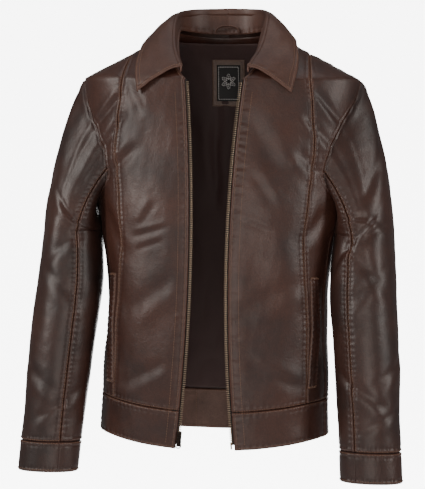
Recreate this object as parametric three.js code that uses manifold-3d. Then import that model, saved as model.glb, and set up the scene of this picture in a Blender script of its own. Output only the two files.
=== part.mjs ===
// A leather jacket with an open zip, a fold-down collar and hem and cuff bands.
// Millimetres, +Z up. The jacket faces -Y, and +X is the wearer's left.
// The origin is the centre of the neck opening, level with the neck seam.
// Every sheet is a thin closed shell laid off one body surface or one sleeve surface.
import * as THREE from 'three';
import { mergeVertices } from 'three/addons/utils/BufferGeometryUtils.js';
import Module from 'manifold-3d';

const wasm = await Module();
wasm.setup();

// ---------- driving dimensions ----------
const NECK_HALF_WIDTH = 75;
const SHOULDER_HALF_WIDTH = 235;
const SHOULDER_Z = -84;
const ARMPIT_Z = -295;
const BAND_TOP_Z = -620;
const HEM_Z = -683;
const FRONT_DROOP = 17;
const BACK_DROOP = 6;
const SIDE_LIFT = 4;
const ROUNDNESS = 2.2;
const ARMHOLE_FRONT = 64;
const ARMHOLE_BACK = 75;
const PRINCESS_TOP_Z = -40;
const FOLD_TOP_X = 57;
const FOLD_TOP_Z = -80;
const FOLD_HEM_X = 138;
const FLAP_TOP_Z = -88;

const LEATHER = 1.3;
const DOUBLED_LEATHER = 2.6;
const CLOTH = 0.8;
const LINING_DEPTH = 6;
const SEAM_GAP = 0.5;
const FOLD_GAP = 1;

const ZIP_BOTTOM = new THREE.Vector3(43, -118, -690);
const ZIP_TOP = new THREE.Vector3(44, -92, -90);
const ZIP_BULGE_X = -15.5;
const ZIP_BULGE_Y = -14;
const TEETH_WIDTH = 3.2;
const TEETH_THICKNESS = 2.6;
const TAPE_WIDTH = 14;
const TAPE_THICKNESS = 0.6;
const TAPE_DEPTH = 2;
const LEATHER_EDGE = 6;
const FACING_WIDTH = 26;
const SLIDER_Z = -677;
const SLIDER_LENGTH = 14;
const SLIDER_CLEARANCE = 0.4;
const SLIDER_WALL = 1;
const LINK_LENGTH = 7;
const RING_RADIUS = 4.6;
const RING_WIRE = 0.85;

const CUFF_TOP_Z = -695;
const CUFF_HEIGHT = 50;
const ELBOW_Z = -345;
const COLLAR_LEAF_THICKNESS = 2.2;

const POCKET_TOP_Z = -415;
const POCKET_BOTTOM_Z = -595;
const POCKET_SHARE = 160 / 235;
const WELT_WIDTH = 14;
const POCKET_BAG_WIDTH = 44;

const LABEL_WIDTH = 60;
const LABEL_HEIGHT = 83;
const TAG_WIDTH = 42;
const TAG_HEIGHT = 64;
const LABEL_TOP_Z = -36;
const LOOP_SPAN = 41;
const LOOP_RISE = 12;
const LOOP_STRAP = 5;
const LOOP_THICKNESS = 1.6;

// ---------- small helpers ----------
const clamp = (value, low, high) => Math.min(Math.max(value, low), high);
const smooth = (value) => {
  const t = clamp(value, 0, 1);
  return t * t * (3 - 2 * t);
};

// A smooth curve through [position, value] pairs that run from high to low position.
function profile(pairs) {
  return (z) => {
    if (z >= pairs[0][0]) return pairs[0][1];
    const last = pairs.length - 1;
    if (z <= pairs[last][0]) return pairs[last][1];
    let k = 0;
    while (z < pairs[k + 1][0]) k += 1;
    const slope = (i) => {
      const a = Math.max(i - 1, 0);
      const b = Math.min(i + 1, last);
      return (pairs[b][1] - pairs[a][1]) / (pairs[b][0] - pairs[a][0]);
    };
    const span = pairs[k + 1][0] - pairs[k][0];
    const t = (z - pairs[k][0]) / span;
    const h = t * t * (3 - 2 * t);
    const rise = t * (1 - t) * (1 - t) * slope(k) * span;
    const fall = t * t * (t - 1) * slope(k + 1) * span;
    return pairs[k][1] * (1 - h) + pairs[k + 1][1] * h + rise + fall;
  };
}

// ---------- the zip line: a circular arc, so that the slider can follow it about one axis ----------
const chord = ZIP_TOP.clone().sub(ZIP_BOTTOM);
const chordLength = chord.length();
const up = chord.clone().normalize();
const bulge = new THREE.Vector3(ZIP_BULGE_X, ZIP_BULGE_Y, 0);
bulge.addScaledVector(up, -bulge.dot(up));
const rise = bulge.length();
const radial = bulge.clone().normalize();
const zipRadius = (chordLength ** 2 / 4 + rise ** 2) / (2 * rise);
const zipMiddle = ZIP_TOP.clone().add(ZIP_BOTTOM).multiplyScalar(0.5);
const zipCentre = zipMiddle.clone().addScaledVector(radial, rise - zipRadius);
const zipAxis = new THREE.Vector3().crossVectors(up, radial).normalize();

function zipAngleAt(z) {
  let angle = 0;
  for (let k = 0; k < 4; k += 1) {
    const height = zipCentre.z + zipRadius * radial.z * Math.cos(angle);
    angle = Math.asin((z - height) / (zipRadius * up.z));
  }
  return angle;
}

// The local frame of the zip: along it, into the panel, and out of the front.
function zipFrame(angle) {
  const out = radial.clone().multiplyScalar(Math.cos(angle)).addScaledVector(up, Math.sin(angle));
  const along = up.clone().multiplyScalar(Math.cos(angle)).addScaledVector(radial, -Math.sin(angle));
  const turn = Math.atan2(-radial.x, -radial.y);
  const panel = zipAxis.clone().multiplyScalar(Math.cos(turn)).addScaledVector(out, -Math.sin(turn));
  const front = zipAxis.clone().multiplyScalar(Math.sin(turn)).addScaledVector(out, Math.cos(turn));
  const point = zipCentre.clone().addScaledVector(out, zipRadius);
  return { point, along, panel, front };
}

const zipPoint = (z) => zipFrame(zipAngleAt(clamp(z, -720, -60))).point;

// ---------- the body surface: rounded slices, narrowing to the shoulder ridge ----------
// The widths are drawn for one size of jacket and grade with its shoulders.
const PATTERN_SHOULDER = 235;
const grade = SHOULDER_HALF_WIDTH / PATTERN_SHOULDER;
const graded = (pairs) => profile(pairs.map(([z, x]) => [z, x * grade]));
const bodyWidth = graded([
  [SHOULDER_Z, PATTERN_SHOULDER],
  [-150, 227],
  [ARMPIT_Z, 207],
  [-350, 198],
  [-400, 191],
  [-480, 187],
  [-560, 191],
  [-700, 195],
]);

function halfWidth(z) {
  if (z >= SHOULDER_Z) {
    const slope = (SHOULDER_HALF_WIDTH - NECK_HALF_WIDTH) / SHOULDER_Z;
    return NECK_HALF_WIDTH + slope * z;
  }
  return bodyWidth(z);
}

const upperFront = profile([[0, 44], [-50, 64], [-90, 94]]);
const backDepth = profile([[0, 80], [-40, 100], [-100, 114], [-200, 124], [-300, 121], [-400, 112], [-480, 110],
  [-700, 117]]);

function frontDepth(z) {
  if (z > -90) return upperFront(z);
  const zip = zipPoint(z);
  const share = 1 - (Math.abs(zip.x) / halfWidth(z)) ** ROUNDNESS;
  return (TAPE_DEPTH - zip.y) / share ** (1 / ROUNDNESS);
}

// angle: -90 degrees is the middle of the front, 0 the wearer's left side, 90 the middle of the back.
function bodyPoint(angle, level) {
  const c = Math.cos(angle);
  const s = Math.sin(angle);
  const droop = SIDE_LIFT - (SIDE_LIFT + (s < 0 ? FRONT_DROOP : BACK_DROOP)) * s * s;
  const z = level + droop * smooth((-480 - level) / 140);
  const power = 2 / ROUNDNESS;
  const depth = s < 0 ? frontDepth(z) : backDepth(z);
  const x = halfWidth(z) * Math.sign(c) * Math.abs(c) ** power;
  const y = depth * Math.sign(s) * Math.abs(s) ** power;
  return new THREE.Vector3(x, y, z);
}

// The unit normal that points to the inside of the garment.
function inwardNormal(surface, a, b, stepA, stepB) {
  const alongA = surface(a + stepA, b).sub(surface(a - stepA, b));
  const alongB = surface(a, b + stepB).sub(surface(a, b - stepB));
  return alongB.cross(alongA).normalize();
}

const bodyAt = (angle, level, depth) => {
  const normal = inwardNormal(bodyPoint, angle, level, 0.02, 1.5);
  return bodyPoint(angle, level).addScaledVector(normal, depth);
};

// The angle at which the front reaches a distance x from the middle.
function frontAngle(x, level) {
  let z = level;
  let angle = -Math.PI / 2;
  for (let k = 0; k < 3; k += 1) {
    const share = clamp(typeof x === 'function' ? x(z) / halfWidth(z) : x / halfWidth(z), 0, 1);
    angle = -Math.acos(share ** (ROUNDNESS / 2));
    z = bodyPoint(angle, level).z;
  }
  return angle;
}

// ---------- seam lines on the body ----------
const necklineX = profile([[0, NECK_HALF_WIDTH], [-50, 72], [FOLD_TOP_Z, FOLD_TOP_X]]);
const foldX = (z) => {
  const share = (FOLD_TOP_Z - z) / (FOLD_TOP_Z - HEM_Z);
  return FOLD_TOP_X + (FOLD_HEM_X - FOLD_TOP_X) * share;
};
// The princess and back seams start a hair inside the shoulder ridge.
const RIDGE_INSET = 0.19;
const ridgeX = (halfWidth(PRINCESS_TOP_Z) - RIDGE_INSET) / grade;
const princessX = graded([[PRINCESS_TOP_Z, ridgeX], [-110, 159], [-207, 166], [-290, 158], [-373, 152], [-503, 159],
  [-628, 162], [-700, 163]]);
const backSeamX = graded([[PRINCESS_TOP_Z, ridgeX], [-150, 126], [-300, 112], [-480, 100], [-700, 108]]);
const innerX = (z) => (z > FOLD_TOP_Z ? necklineX(z) : foldX(z));

// The armhole is widest three quarters of the way down and closes at the armpit.
const ARMHOLE_LOW = 0.74;
function armholeShare(z) {
  const s = clamp((SHOULDER_Z - z) / (SHOULDER_Z - ARMPIT_Z), 0, 1);
  if (s < ARMHOLE_LOW) return Math.sin((Math.PI / 2) * (s / ARMHOLE_LOW));
  return Math.sqrt(Math.max(0, 1 - ((s - ARMHOLE_LOW) / (1 - ARMHOLE_LOW)) ** 2));
}
const SIDE_SEAM = THREE.MathUtils.degToRad(14);
const sideSeam = (z) => SIDE_SEAM * smooth((ARMPIT_Z - z) / 60);

function outerAngle(z, back) {
  if (z <= ARMPIT_Z) return -sideSeam(z);
  const depth = back ? backDepth(z) : frontDepth(z);
  const reach = (back ? ARMHOLE_BACK : ARMHOLE_FRONT) * armholeShare(z);
  const angle = Math.asin(clamp(reach / depth, 0, 1) ** (ROUNDNESS / 2));
  return back ? angle : -angle;
}

// ---------- building shells ----------
function addTriangles(indices, a, b, c, d) {
  indices.push(a, b, c, a, c, d);
}

// A closed shell between an outer and an inner grid of points: grid(u, v, side) with side 0 out, 1 in.
function shell(columns, rows, grid, ring = false) {
  const positions = [];
  const indices = [];
  const wide = columns.length;
  for (let side = 0; side < 2; side += 1) {
    for (const v of rows) {
      for (const u of columns) {
        const p = grid(u, v, side);
        positions.push(p.x, p.y, p.z);
      }
    }
  }
  const at = (side, row, column) => side * rows.length * wide + row * wide + (column % wide);
  const spans = ring ? wide : wide - 1;
  for (let row = 0; row < rows.length - 1; row += 1) {
    for (let k = 0; k < spans; k += 1) {
      addTriangles(indices, at(0, row, k), at(0, row, k + 1), at(0, row + 1, k + 1), at(0, row + 1, k));
      addTriangles(indices, at(1, row, k), at(1, row + 1, k), at(1, row + 1, k + 1), at(1, row, k + 1));
    }
  }
  const bottom = rows.length - 1;
  for (let k = 0; k < spans; k += 1) {
    addTriangles(indices, at(0, 0, k), at(1, 0, k), at(1, 0, k + 1), at(0, 0, k + 1));
    addTriangles(indices, at(0, bottom, k), at(0, bottom, k + 1), at(1, bottom, k + 1), at(1, bottom, k));
  }
  if (!ring) {
    const end = wide - 1;
    for (let row = 0; row < bottom; row += 1) {
      addTriangles(indices, at(0, row, 0), at(0, row + 1, 0), at(1, row + 1, 0), at(1, row, 0));
      addTriangles(indices, at(0, row, end), at(1, row, end), at(1, row + 1, end), at(0, row + 1, end));
    }
  }
  const geometry = new THREE.BufferGeometry();
  geometry.setAttribute('position', new THREE.Float32BufferAttribute(positions, 3));
  geometry.setIndex(indices);
  return geometry;
}

function volumeOf(geometry) {
  const p = geometry.getAttribute('position');
  const index = geometry.getIndex();
  const corner = (k) => new THREE.Vector3().fromBufferAttribute(p, index.getX(k));
  let volume = 0;
  for (let k = 0; k < index.count; k += 3) {
    volume += corner(k).dot(corner(k + 1).cross(corner(k + 2))) / 6;
  }
  return volume;
}

function facingOut(geometry) {
  if (volumeOf(geometry) > 0) return geometry;
  const index = geometry.getIndex();
  for (let k = 0; k < index.count; k += 3) {
    const second = index.getX(k + 1);
    index.setX(k + 1, index.getX(k + 2));
    index.setX(k + 2, second);
  }
  return geometry;
}

function toManifold(geometry) {
  const plain = geometry.clone();
  plain.deleteAttribute('normal');
  plain.deleteAttribute('uv');
  const merged = mergeVertices(plain, 1e-4);
  return new wasm.Manifold(new wasm.Mesh({
    numProp: 3,
    vertProperties: new Float32Array(merged.getAttribute('position').array),
    triVerts: new Uint32Array(merged.getIndex().array),
  }));
}

function joined(geometries) {
  const solid = geometries.map(toManifold).reduce((all, next) => all.add(next));
  const mesh = solid.getMesh();
  const geometry = new THREE.BufferGeometry();
  geometry.setAttribute('position', new THREE.Float32BufferAttribute(mesh.vertProperties, 3));
  geometry.setIndex(Array.from(mesh.triVerts));
  return geometry;
}

const steps = (count) => Array.from({ length: count + 1 }, (_, k) => k / count);
const bodyLevels = [-4, -18, PRINCESS_TOP_Z, PRINCESS_TOP_Z - 4, -60, SHOULDER_Z, FLAP_TOP_Z - 6, -110, -140, -175, -210, -240, -262, -279, -290, ARMPIT_Z, -340,
  -400, -470, -540, BAND_TOP_Z + SEAM_GAP];
const levelsBetween = (top, bottom) => [top, ...bodyLevels.filter((z) => z < top - 3 && z > bottom + 3), bottom];

// A sheet on the body between two boundary angles, from one depth to another.
function bodySheet({ from, to, top, bottom, depth, thickness, columns }) {
  return shell(steps(columns), levelsBetween(top, bottom), (u, level, side) => {
    const angle = THREE.MathUtils.lerp(from(level), to(level), u);
    return bodyAt(angle, level, depth + side * thickness);
  });
}

// ---------- materials ----------
const leatherMaterial = () => new THREE.MeshStandardMaterial({ color: 0x4a332b, roughness: 0.45, metalness: 0 });
const trimMaterial = () => new THREE.MeshStandardMaterial({ color: 0x5a4034, roughness: 0.5, metalness: 0 });
const liningMaterial = () => new THREE.MeshStandardMaterial({ color: 0x2b2020, roughness: 0.85, metalness: 0 });
const tapeMaterial = () => new THREE.MeshStandardMaterial({ color: 0x2a211d, roughness: 0.9, metalness: 0 });
const brassMaterial = () => new THREE.MeshStandardMaterial({ color: 0x6e5432, roughness: 0.4, metalness: 1 });
const darkMetalMaterial = () => new THREE.MeshStandardMaterial({ color: 0x3a322b, roughness: 0.4, metalness: 1 });
const labelMaterial = () => new THREE.MeshStandardMaterial({ color: 0x7a5d50, roughness: 0.6, metalness: 0 });
const tagMaterial = () => new THREE.MeshStandardMaterial({ color: 0x1d1d1d, roughness: 0.7, metalness: 0 });

const group = new THREE.Group();

function addPiece(name, geometry, material) {
  const mesh = new THREE.Mesh(facingOut(geometry), material);
  mesh.name = name;
  group.add(mesh);
}

// side 1 is the wearer's left; the right piece is its mirror image.
function addPair(name, makeGeometry, makeMaterial) {
  for (const [word, side] of [['left', 1], ['right', -1]]) {
    const geometry = makeGeometry(side);
    if (side < 0) geometry.scale(-1, 1, 1);
    addPiece(`${word}_${name}`, geometry, makeMaterial());
  }
}

const gapAngle = (gap, level) => gap / ((halfWidth(level) + frontDepth(level)) / 2);
const inward = (angleAt, gap) => (level) => angleAt(level) - gapAngle(gap, level);
const outward = (angleAt, gap) => (level) => angleAt(level) + gapAngle(gap, level);

const foldAngle = (level) => frontAngle(innerX, level);
const princessAngle = (level) => frontAngle(princessX, level);
const zipAngle = (distance) => (level) => frontAngle((z) => Math.abs(zipPoint(z).x) + distance, level);
const frontOuter = (level) => outerAngle(level, false);
const backLeft = (level) => outerAngle(level, true);
const mirrored = (angleAt) => (level) => Math.PI - angleAt(level);

// ---------- outer leather of the body ----------
// Above the curved seam's top end the front panel runs to the shoulder ridge.
const frontPanelOuter = (level) => (level > PRINCESS_TOP_Z ? frontOuter(level) : princessAngle(level));

addPair('front_side_panel', () => bodySheet({
  from: outward(foldAngle, FOLD_GAP),
  to: inward(frontPanelOuter, SEAM_GAP),
  top: -4, bottom: BAND_TOP_Z + SEAM_GAP, depth: 0, thickness: LEATHER, columns: 5,
}), leatherMaterial);

addPair('side_panel', () => bodySheet({
  from: outward(princessAngle, SEAM_GAP),
  to: inward(frontOuter, SEAM_GAP),
  top: PRINCESS_TOP_Z - 4, bottom: BAND_TOP_Z + SEAM_GAP, depth: 0, thickness: LEATHER, columns: 4,
}), leatherMaterial);

addPair('front_panel', () => bodySheet({
  from: zipAngle(LEATHER_EDGE),
  to: inward(foldAngle, FOLD_GAP),
  top: FLAP_TOP_Z, bottom: BAND_TOP_Z + SEAM_GAP, depth: 0, thickness: LEATHER, columns: 4,
}), leatherMaterial);

// The back has a middle panel and two side backs, whose seams meet the front ones on the shoulder.
const backSeamAngle = (level) => Math.acos((backSeamX(level) / halfWidth(level)) ** (ROUNDNESS / 2));
const backPanelOuter = (level) => (level > PRINCESS_TOP_Z ? backLeft(level) : backSeamAngle(level));
addPiece('back_panel', bodySheet({
  from: outward(backPanelOuter, SEAM_GAP),
  to: mirrored(outward(backPanelOuter, SEAM_GAP)),
  top: -4, bottom: BAND_TOP_Z + SEAM_GAP, depth: 0, thickness: LEATHER, columns: 9,
}), leatherMaterial());

addPair('side_back_panel', () => bodySheet({
  from: outward(backLeft, SEAM_GAP),
  to: inward(backSeamAngle, SEAM_GAP),
  top: PRINCESS_TOP_Z - 4, bottom: BAND_TOP_Z + SEAM_GAP, depth: 0, thickness: LEATHER, columns: 6,
}), leatherMaterial);

// ---------- hem band ----------
addPair('front_hem_band', () => bodySheet({
  from: zipAngle(LEATHER_EDGE),
  to: inward(foldAngle, FOLD_GAP),
  top: BAND_TOP_Z - SEAM_GAP, bottom: HEM_Z, depth: 0, thickness: LEATHER, columns: 4,
}), leatherMaterial);

addPair('side_hem_band', () => bodySheet({
  from: outward(foldAngle, FOLD_GAP),
  to: inward(frontOuter, SEAM_GAP),
  top: BAND_TOP_Z - SEAM_GAP, bottom: HEM_Z, depth: 0, thickness: DOUBLED_LEATHER, columns: 5,
}), leatherMaterial);

addPiece('back_hem_band', bodySheet({
  from: outward(frontOuter, SEAM_GAP),
  to: mirrored(outward(frontOuter, SEAM_GAP)),
  top: BAND_TOP_Z - SEAM_GAP, bottom: HEM_Z, depth: 0, thickness: DOUBLED_LEATHER, columns: 16,
}), leatherMaterial());

addPiece('hem_facing', bodySheet({
  from: outward(foldAngle, 3 * FOLD_GAP),
  to: mirrored(outward(foldAngle, 3 * FOLD_GAP)),
  top: BAND_TOP_Z + 8, bottom: HEM_Z, depth: LINING_DEPTH, thickness: LEATHER, columns: 26,
}), leatherMaterial());

// ---------- facings and linings ----------
const FACING_DEPTH = 3.2;
const facingOuterAngle = (level) => Math.min(zipAngle(LEATHER_EDGE + FACING_WIDTH)(level),
  inward(foldAngle, 2 * FOLD_GAP)(level));
addPair('front_facing', () => bodySheet({
  from: zipAngle(LEATHER_EDGE),
  to: facingOuterAngle,
  top: FLAP_TOP_Z - 6, bottom: HEM_Z, depth: FACING_DEPTH, thickness: LEATHER, columns: 2,
}), leatherMaterial);

addPair('front_lining', () => bodySheet({
  from: zipAngle(LEATHER_EDGE + FACING_WIDTH + 1),
  to: inward(foldAngle, 3 * FOLD_GAP),
  top: -200, bottom: HEM_Z + 12, depth: LINING_DEPTH, thickness: CLOTH, columns: 3,
}), liningMaterial);

addPair('side_lining', () => bodySheet({
  from: outward(foldAngle, 3 * FOLD_GAP),
  to: inward(frontOuter, 2 * SEAM_GAP),
  top: -16, bottom: BAND_TOP_Z + 10, depth: LINING_DEPTH, thickness: CLOTH, columns: 6,
}), liningMaterial);

addPiece('back_lining', bodySheet({
  from: outward(backLeft, 2 * SEAM_GAP),
  to: mirrored(outward(backLeft, 2 * SEAM_GAP)),
  top: -10, bottom: BAND_TOP_Z + 10, depth: LINING_DEPTH, thickness: CLOTH, columns: 14,
}), liningMaterial());

const pocketX = SHOULDER_HALF_WIDTH * POCKET_SHARE;
// ---------- pockets: a raised welt on the side panel, and a cloth bag behind the leather ----------
addPair('pocket_welt', () => bodySheet({
  from: (level) => frontAngle(pocketX, level),
  to: (level) => frontAngle(pocketX + WELT_WIDTH, level),
  top: POCKET_TOP_Z, bottom: POCKET_BOTTOM_Z, depth: -2.4, thickness: 2, columns: 3,
}), leatherMaterial);

addPair('pocket_bag', () => bodySheet({
  from: (level) => frontAngle(pocketX + WELT_WIDTH - POCKET_BAG_WIDTH, level),
  to: (level) => frontAngle(pocketX + WELT_WIDTH - 4, level),
  top: POCKET_TOP_Z, bottom: POCKET_BOTTOM_Z, depth: 3.4, thickness: CLOTH, columns: 5,
}), liningMaterial);

// ---------- zip ----------
const ZIP_TEETH_STEPS = 22;
addPair('zip_tape', () => bodySheet({
  from: zipAngle(TEETH_WIDTH / 2 + 0.3),
  to: (level) => Math.min(zipAngle(TEETH_WIDTH / 2 + TAPE_WIDTH)(level), inward(foldAngle, 2 * FOLD_GAP)(level)),
  top: FLAP_TOP_Z - 6, bottom: HEM_Z + 18, depth: TAPE_DEPTH - TAPE_THICKNESS / 2, thickness: TAPE_THICKNESS,
  columns: 2,
}), tapeMaterial);

function zipBar(fromZ, toZ, width, thickness, count) {
  const start = zipAngleAt(fromZ);
  const end = zipAngleAt(toZ);
  return shell([-0.5, 0.5], steps(count), (u, v, side) => {
    const place = zipFrame(THREE.MathUtils.lerp(start, end, v));
    return place.point.addScaledVector(place.panel, u * width).addScaledVector(place.front, (0.5 - side) * thickness);
  });
}
const TEETH_BOTTOM_Z = -684;
addPair('zip_teeth', () => zipBar(FLAP_TOP_Z - 8, TEETH_BOTTOM_Z, TEETH_WIDTH, TEETH_THICKNESS, ZIP_TEETH_STEPS),
  brassMaterial);

addPiece('left_zip_pin', zipBar(TEETH_BOTTOM_Z - 0.5, TEETH_BOTTOM_Z - 12, TEETH_WIDTH - 0.6, TEETH_THICKNESS, 1),
  darkMetalMaterial());
const rightBox = zipBar(TEETH_BOTTOM_Z - 0.5, TEETH_BOTTOM_Z - 10, TEETH_WIDTH + 4, TEETH_THICKNESS + 2, 1);
rightBox.scale(-1, 1, 1);
addPiece('right_zip_box', rightBox, darkMetalMaterial());

// The slider is a channel round the teeth, open towards the tape, with two ears that hold a cross pin.
const slider = zipFrame(zipAngleAt(SLIDER_Z));
const channelHalf = TEETH_THICKNESS / 2 + SLIDER_CLEARANCE;
const plateHalf = channelHalf + SLIDER_WALL;
const channelBack = -TEETH_WIDTH / 2 - SLIDER_CLEARANCE - 0.1;
const sliderEdge = 4.4;
const PIN_RADIUS = 0.7;
const EAR_THICKNESS = 1;
const LINK_WIDTH = 2.6;
const pinHeight = plateHalf + 2.3;
const pinAlong = -3;

const sliderAxes = new THREE.Matrix4().makeBasis(slider.panel, slider.front,
  new THREE.Vector3().crossVectors(slider.panel, slider.front)).setPosition(slider.point);
const alongSign = Math.sign(new THREE.Vector3().crossVectors(slider.panel, slider.front).dot(slider.along));

function extrudedAt(shape, depth, x, y, z) {
  const geometry = new THREE.ExtrudeGeometry(shape, { depth, bevelEnabled: false, curveSegments: 4 });
  geometry.translate(x, y, z);
  return geometry;
}

function sliderBody() {
  const outline = new THREE.Shape();
  outline.moveTo(channelBack - SLIDER_WALL, -plateHalf);
  outline.lineTo(sliderEdge, -plateHalf);
  outline.lineTo(sliderEdge, -channelHalf);
  outline.lineTo(channelBack, -channelHalf);
  outline.lineTo(channelBack, channelHalf);
  outline.lineTo(sliderEdge, channelHalf);
  outline.lineTo(sliderEdge, plateHalf);
  outline.lineTo(channelBack - SLIDER_WALL, plateHalf);
  outline.closePath();
  const parts = [extrudedAt(outline, SLIDER_LENGTH, 0, 0, -SLIDER_LENGTH / 2)];
  const earInner = LINK_WIDTH / 2 + 0.4;
  for (const sign of [-1, 1]) {
    const ear = new THREE.BoxGeometry(EAR_THICKNESS, 4.4, 3.6);
    ear.translate(sign * (earInner + EAR_THICKNESS / 2), plateHalf + 1.6, alongSign * pinAlong);
    parts.push(ear);
  }
  const pin = new THREE.CylinderGeometry(PIN_RADIUS, PIN_RADIUS, 2 * earInner + EAR_THICKNESS, 10);
  pin.rotateZ(Math.PI / 2);
  pin.translate(0, pinHeight, alongSign * pinAlong);
  parts.push(pin);
  return joined(parts);
}
const sliderGeometry = sliderBody();
sliderGeometry.applyMatrix4(sliderAxes);
sliderGeometry.scale(-1, 1, 1);
addPiece('zip_slider', sliderGeometry, darkMetalMaterial());

// The pull link hangs straight down from the pin, and the ring hangs in the link's lower eye.
const pinCentre = slider.point.clone().addScaledVector(slider.front, pinHeight)
  .addScaledVector(slider.along, pinAlong);
const hangDown = new THREE.Vector3(0, 0, -1);
hangDown.addScaledVector(slider.panel, -hangDown.dot(slider.panel)).normalize();
const hangFront = new THREE.Vector3().crossVectors(hangDown, slider.panel).normalize();
if (hangFront.y > 0) hangFront.negate();
const linkAxes = new THREE.Matrix4().makeBasis(hangFront, hangDown,
  new THREE.Vector3().crossVectors(hangFront, hangDown)).setPosition(pinCentre);

function linkBody() {
  const eye = 1.9;
  const outline = new THREE.Shape();
  outline.absarc(0, 0, eye, Math.PI, 2 * Math.PI, false);
  outline.absarc(0, LINK_LENGTH, eye, 0, Math.PI, false);
  outline.closePath();
  for (const [y, radius] of [[0, PIN_RADIUS + 0.35], [LINK_LENGTH, RING_WIRE + 0.4]]) {
    const hole = new THREE.Path();
    hole.absarc(0, y, radius, 0, 2 * Math.PI, true);
    outline.holes.push(hole);
  }
  return new THREE.ExtrudeGeometry(outline, {
    depth: LINK_WIDTH, bevelEnabled: false, curveSegments: 8,
  });
}
const linkRaw = linkBody();
linkRaw.translate(0, 0, -LINK_WIDTH / 2);
linkRaw.deleteAttribute('normal');
linkRaw.deleteAttribute('uv');
const linkGeometry = mergeVertices(linkRaw, 1e-4);
linkGeometry.applyMatrix4(linkAxes);
linkGeometry.scale(-1, 1, 1);
addPiece('zip_pull', linkGeometry, darkMetalMaterial());

const ringGeometry = new THREE.TorusGeometry(RING_RADIUS, RING_WIRE, 8, 24);
ringGeometry.deleteAttribute('normal');
ringGeometry.deleteAttribute('uv');
ringGeometry.rotateY(Math.PI / 2);
ringGeometry.translate(0, LINK_LENGTH + RING_RADIUS, 0);
ringGeometry.applyMatrix4(linkAxes);
ringGeometry.scale(-1, 1, 1);
addPiece('zip_ring', mergeVertices(ringGeometry, 1e-4), darkMetalMaterial());

// ---------- sleeves ----------
const sleeveX = profile([[ELBOW_Z, 252], [-400, 250], [-445, 250], [-500, 253.5], [-560, 258], [-650, 263.5],
  [-745, 269]]);
const sleeveHalfWidth = profile([[ELBOW_Z, 46], [-400, 52], [-445, 55], [-500, 55.5], [-560, 55], [-650, 51.5],
  [-745, 51]]);
const sleeveY = profile([[ELBOW_Z, -14], [-500, -45], [-745, -80]]);
const sleeveHalfDepth = profile([[ELBOW_Z, 66], [-500, 60], [-700, 42], [-745, 38]]);
const SLEEVE_GAP = 1.2;
// The sleeve's widths are drawn for this length from elbow to cuff, and stretch or shrink with it.
const PATTERN_SLEEVE = 350;
// How strongly the sleeve leaves the armhole outwards and downwards: at the armpit, and extra at the top.
const HEAD_LEAVE = 20;
const HEAD_DROP = 30;
const HEAD_FULLNESS = 90;
// How the sleeve's head runs into the straight part, as shares of its reach: outwards and forwards.
const ARRIVE_OUT = 0.04;
const ARRIVE_FORWARD = 0.1;

function armholePoint(turn) {
  const c = Math.cos(turn);
  const z = SHOULDER_Z + (ARMPIT_Z - SHOULDER_Z) * (1 - c) / 2;
  const back = Math.sin(turn) < 0;
  return bodyPoint(outerAngle(clamp(z, ARMPIT_Z + 0.001, SHOULDER_Z), back), z);
}

// turn: 0 is the top or outer side, 90 degrees the front, 180 the side next to the body.
// length: 0 at the armhole, 1 at the top of the arm's straight part, 2 at the cuff seam.
function sleevePoint(turn, length) {
  const round = (z) => {
    const drawn = ELBOW_Z + (z - ELBOW_Z) * (PATTERN_SLEEVE / (ELBOW_Z - CUFF_TOP_Z));
    return new THREE.Vector3(
      sleeveX(drawn) + SHOULDER_HALF_WIDTH - PATTERN_SHOULDER + sleeveHalfWidth(drawn) * Math.cos(turn),
      sleeveY(drawn) - sleeveHalfDepth(drawn) * Math.sin(turn),
      z,
    );
  };
  if (length >= 1) return round(ELBOW_Z + (length - 1) * (CUFF_TOP_Z - ELBOW_Z));
  const start = armholePoint(turn);
  start.x += SLEEVE_GAP;
  const end = round(ELBOW_Z);
  const reach = start.distanceTo(end);
  const top = (1 + Math.cos(turn)) / 2;
  const leave = new THREE.Vector3(HEAD_LEAVE + HEAD_FULLNESS * top, 0, -HEAD_DROP - HEAD_FULLNESS * top);
  const arrive = new THREE.Vector3(ARRIVE_OUT, -ARRIVE_FORWARD, -1).multiplyScalar(reach);
  const t = length;
  const h = t * t * (3 - 2 * t);
  return start.multiplyScalar(1 - h).addScaledVector(end, h)
    .addScaledVector(leave, t * (1 - t) * (1 - t))
    .addScaledVector(arrive, t * t * (t - 1));
}

function sleeveAt(turn, length, depth) {
  const low = Math.max(length, 0.004);
  const normal = inwardNormal(sleevePoint, turn, low, 0.03, 0.003);
  return sleevePoint(turn, length).addScaledVector(normal, depth);
}

const FRONT_SLEEVE_SEAM = THREE.MathUtils.degToRad(118);
const BACK_SLEEVE_SEAM = THREE.MathUtils.degToRad(-112);
const ELBOW_SLEEVE_SEAM = THREE.MathUtils.degToRad(-38);
const SLEEVE_SEAM_GAP = 0.012;
const sleeveRows = [0, 0.08, 0.18, 0.3, 0.44, 0.58, 0.72, 0.86, 1, 1.13, 1.28, 1.44, 1.6, 1.8, 2];
const liningRows = [0.04, 0.15, 0.3, 0.5, 0.75, 1, 1.2, 1.44, 1.7, 2.1];

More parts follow.
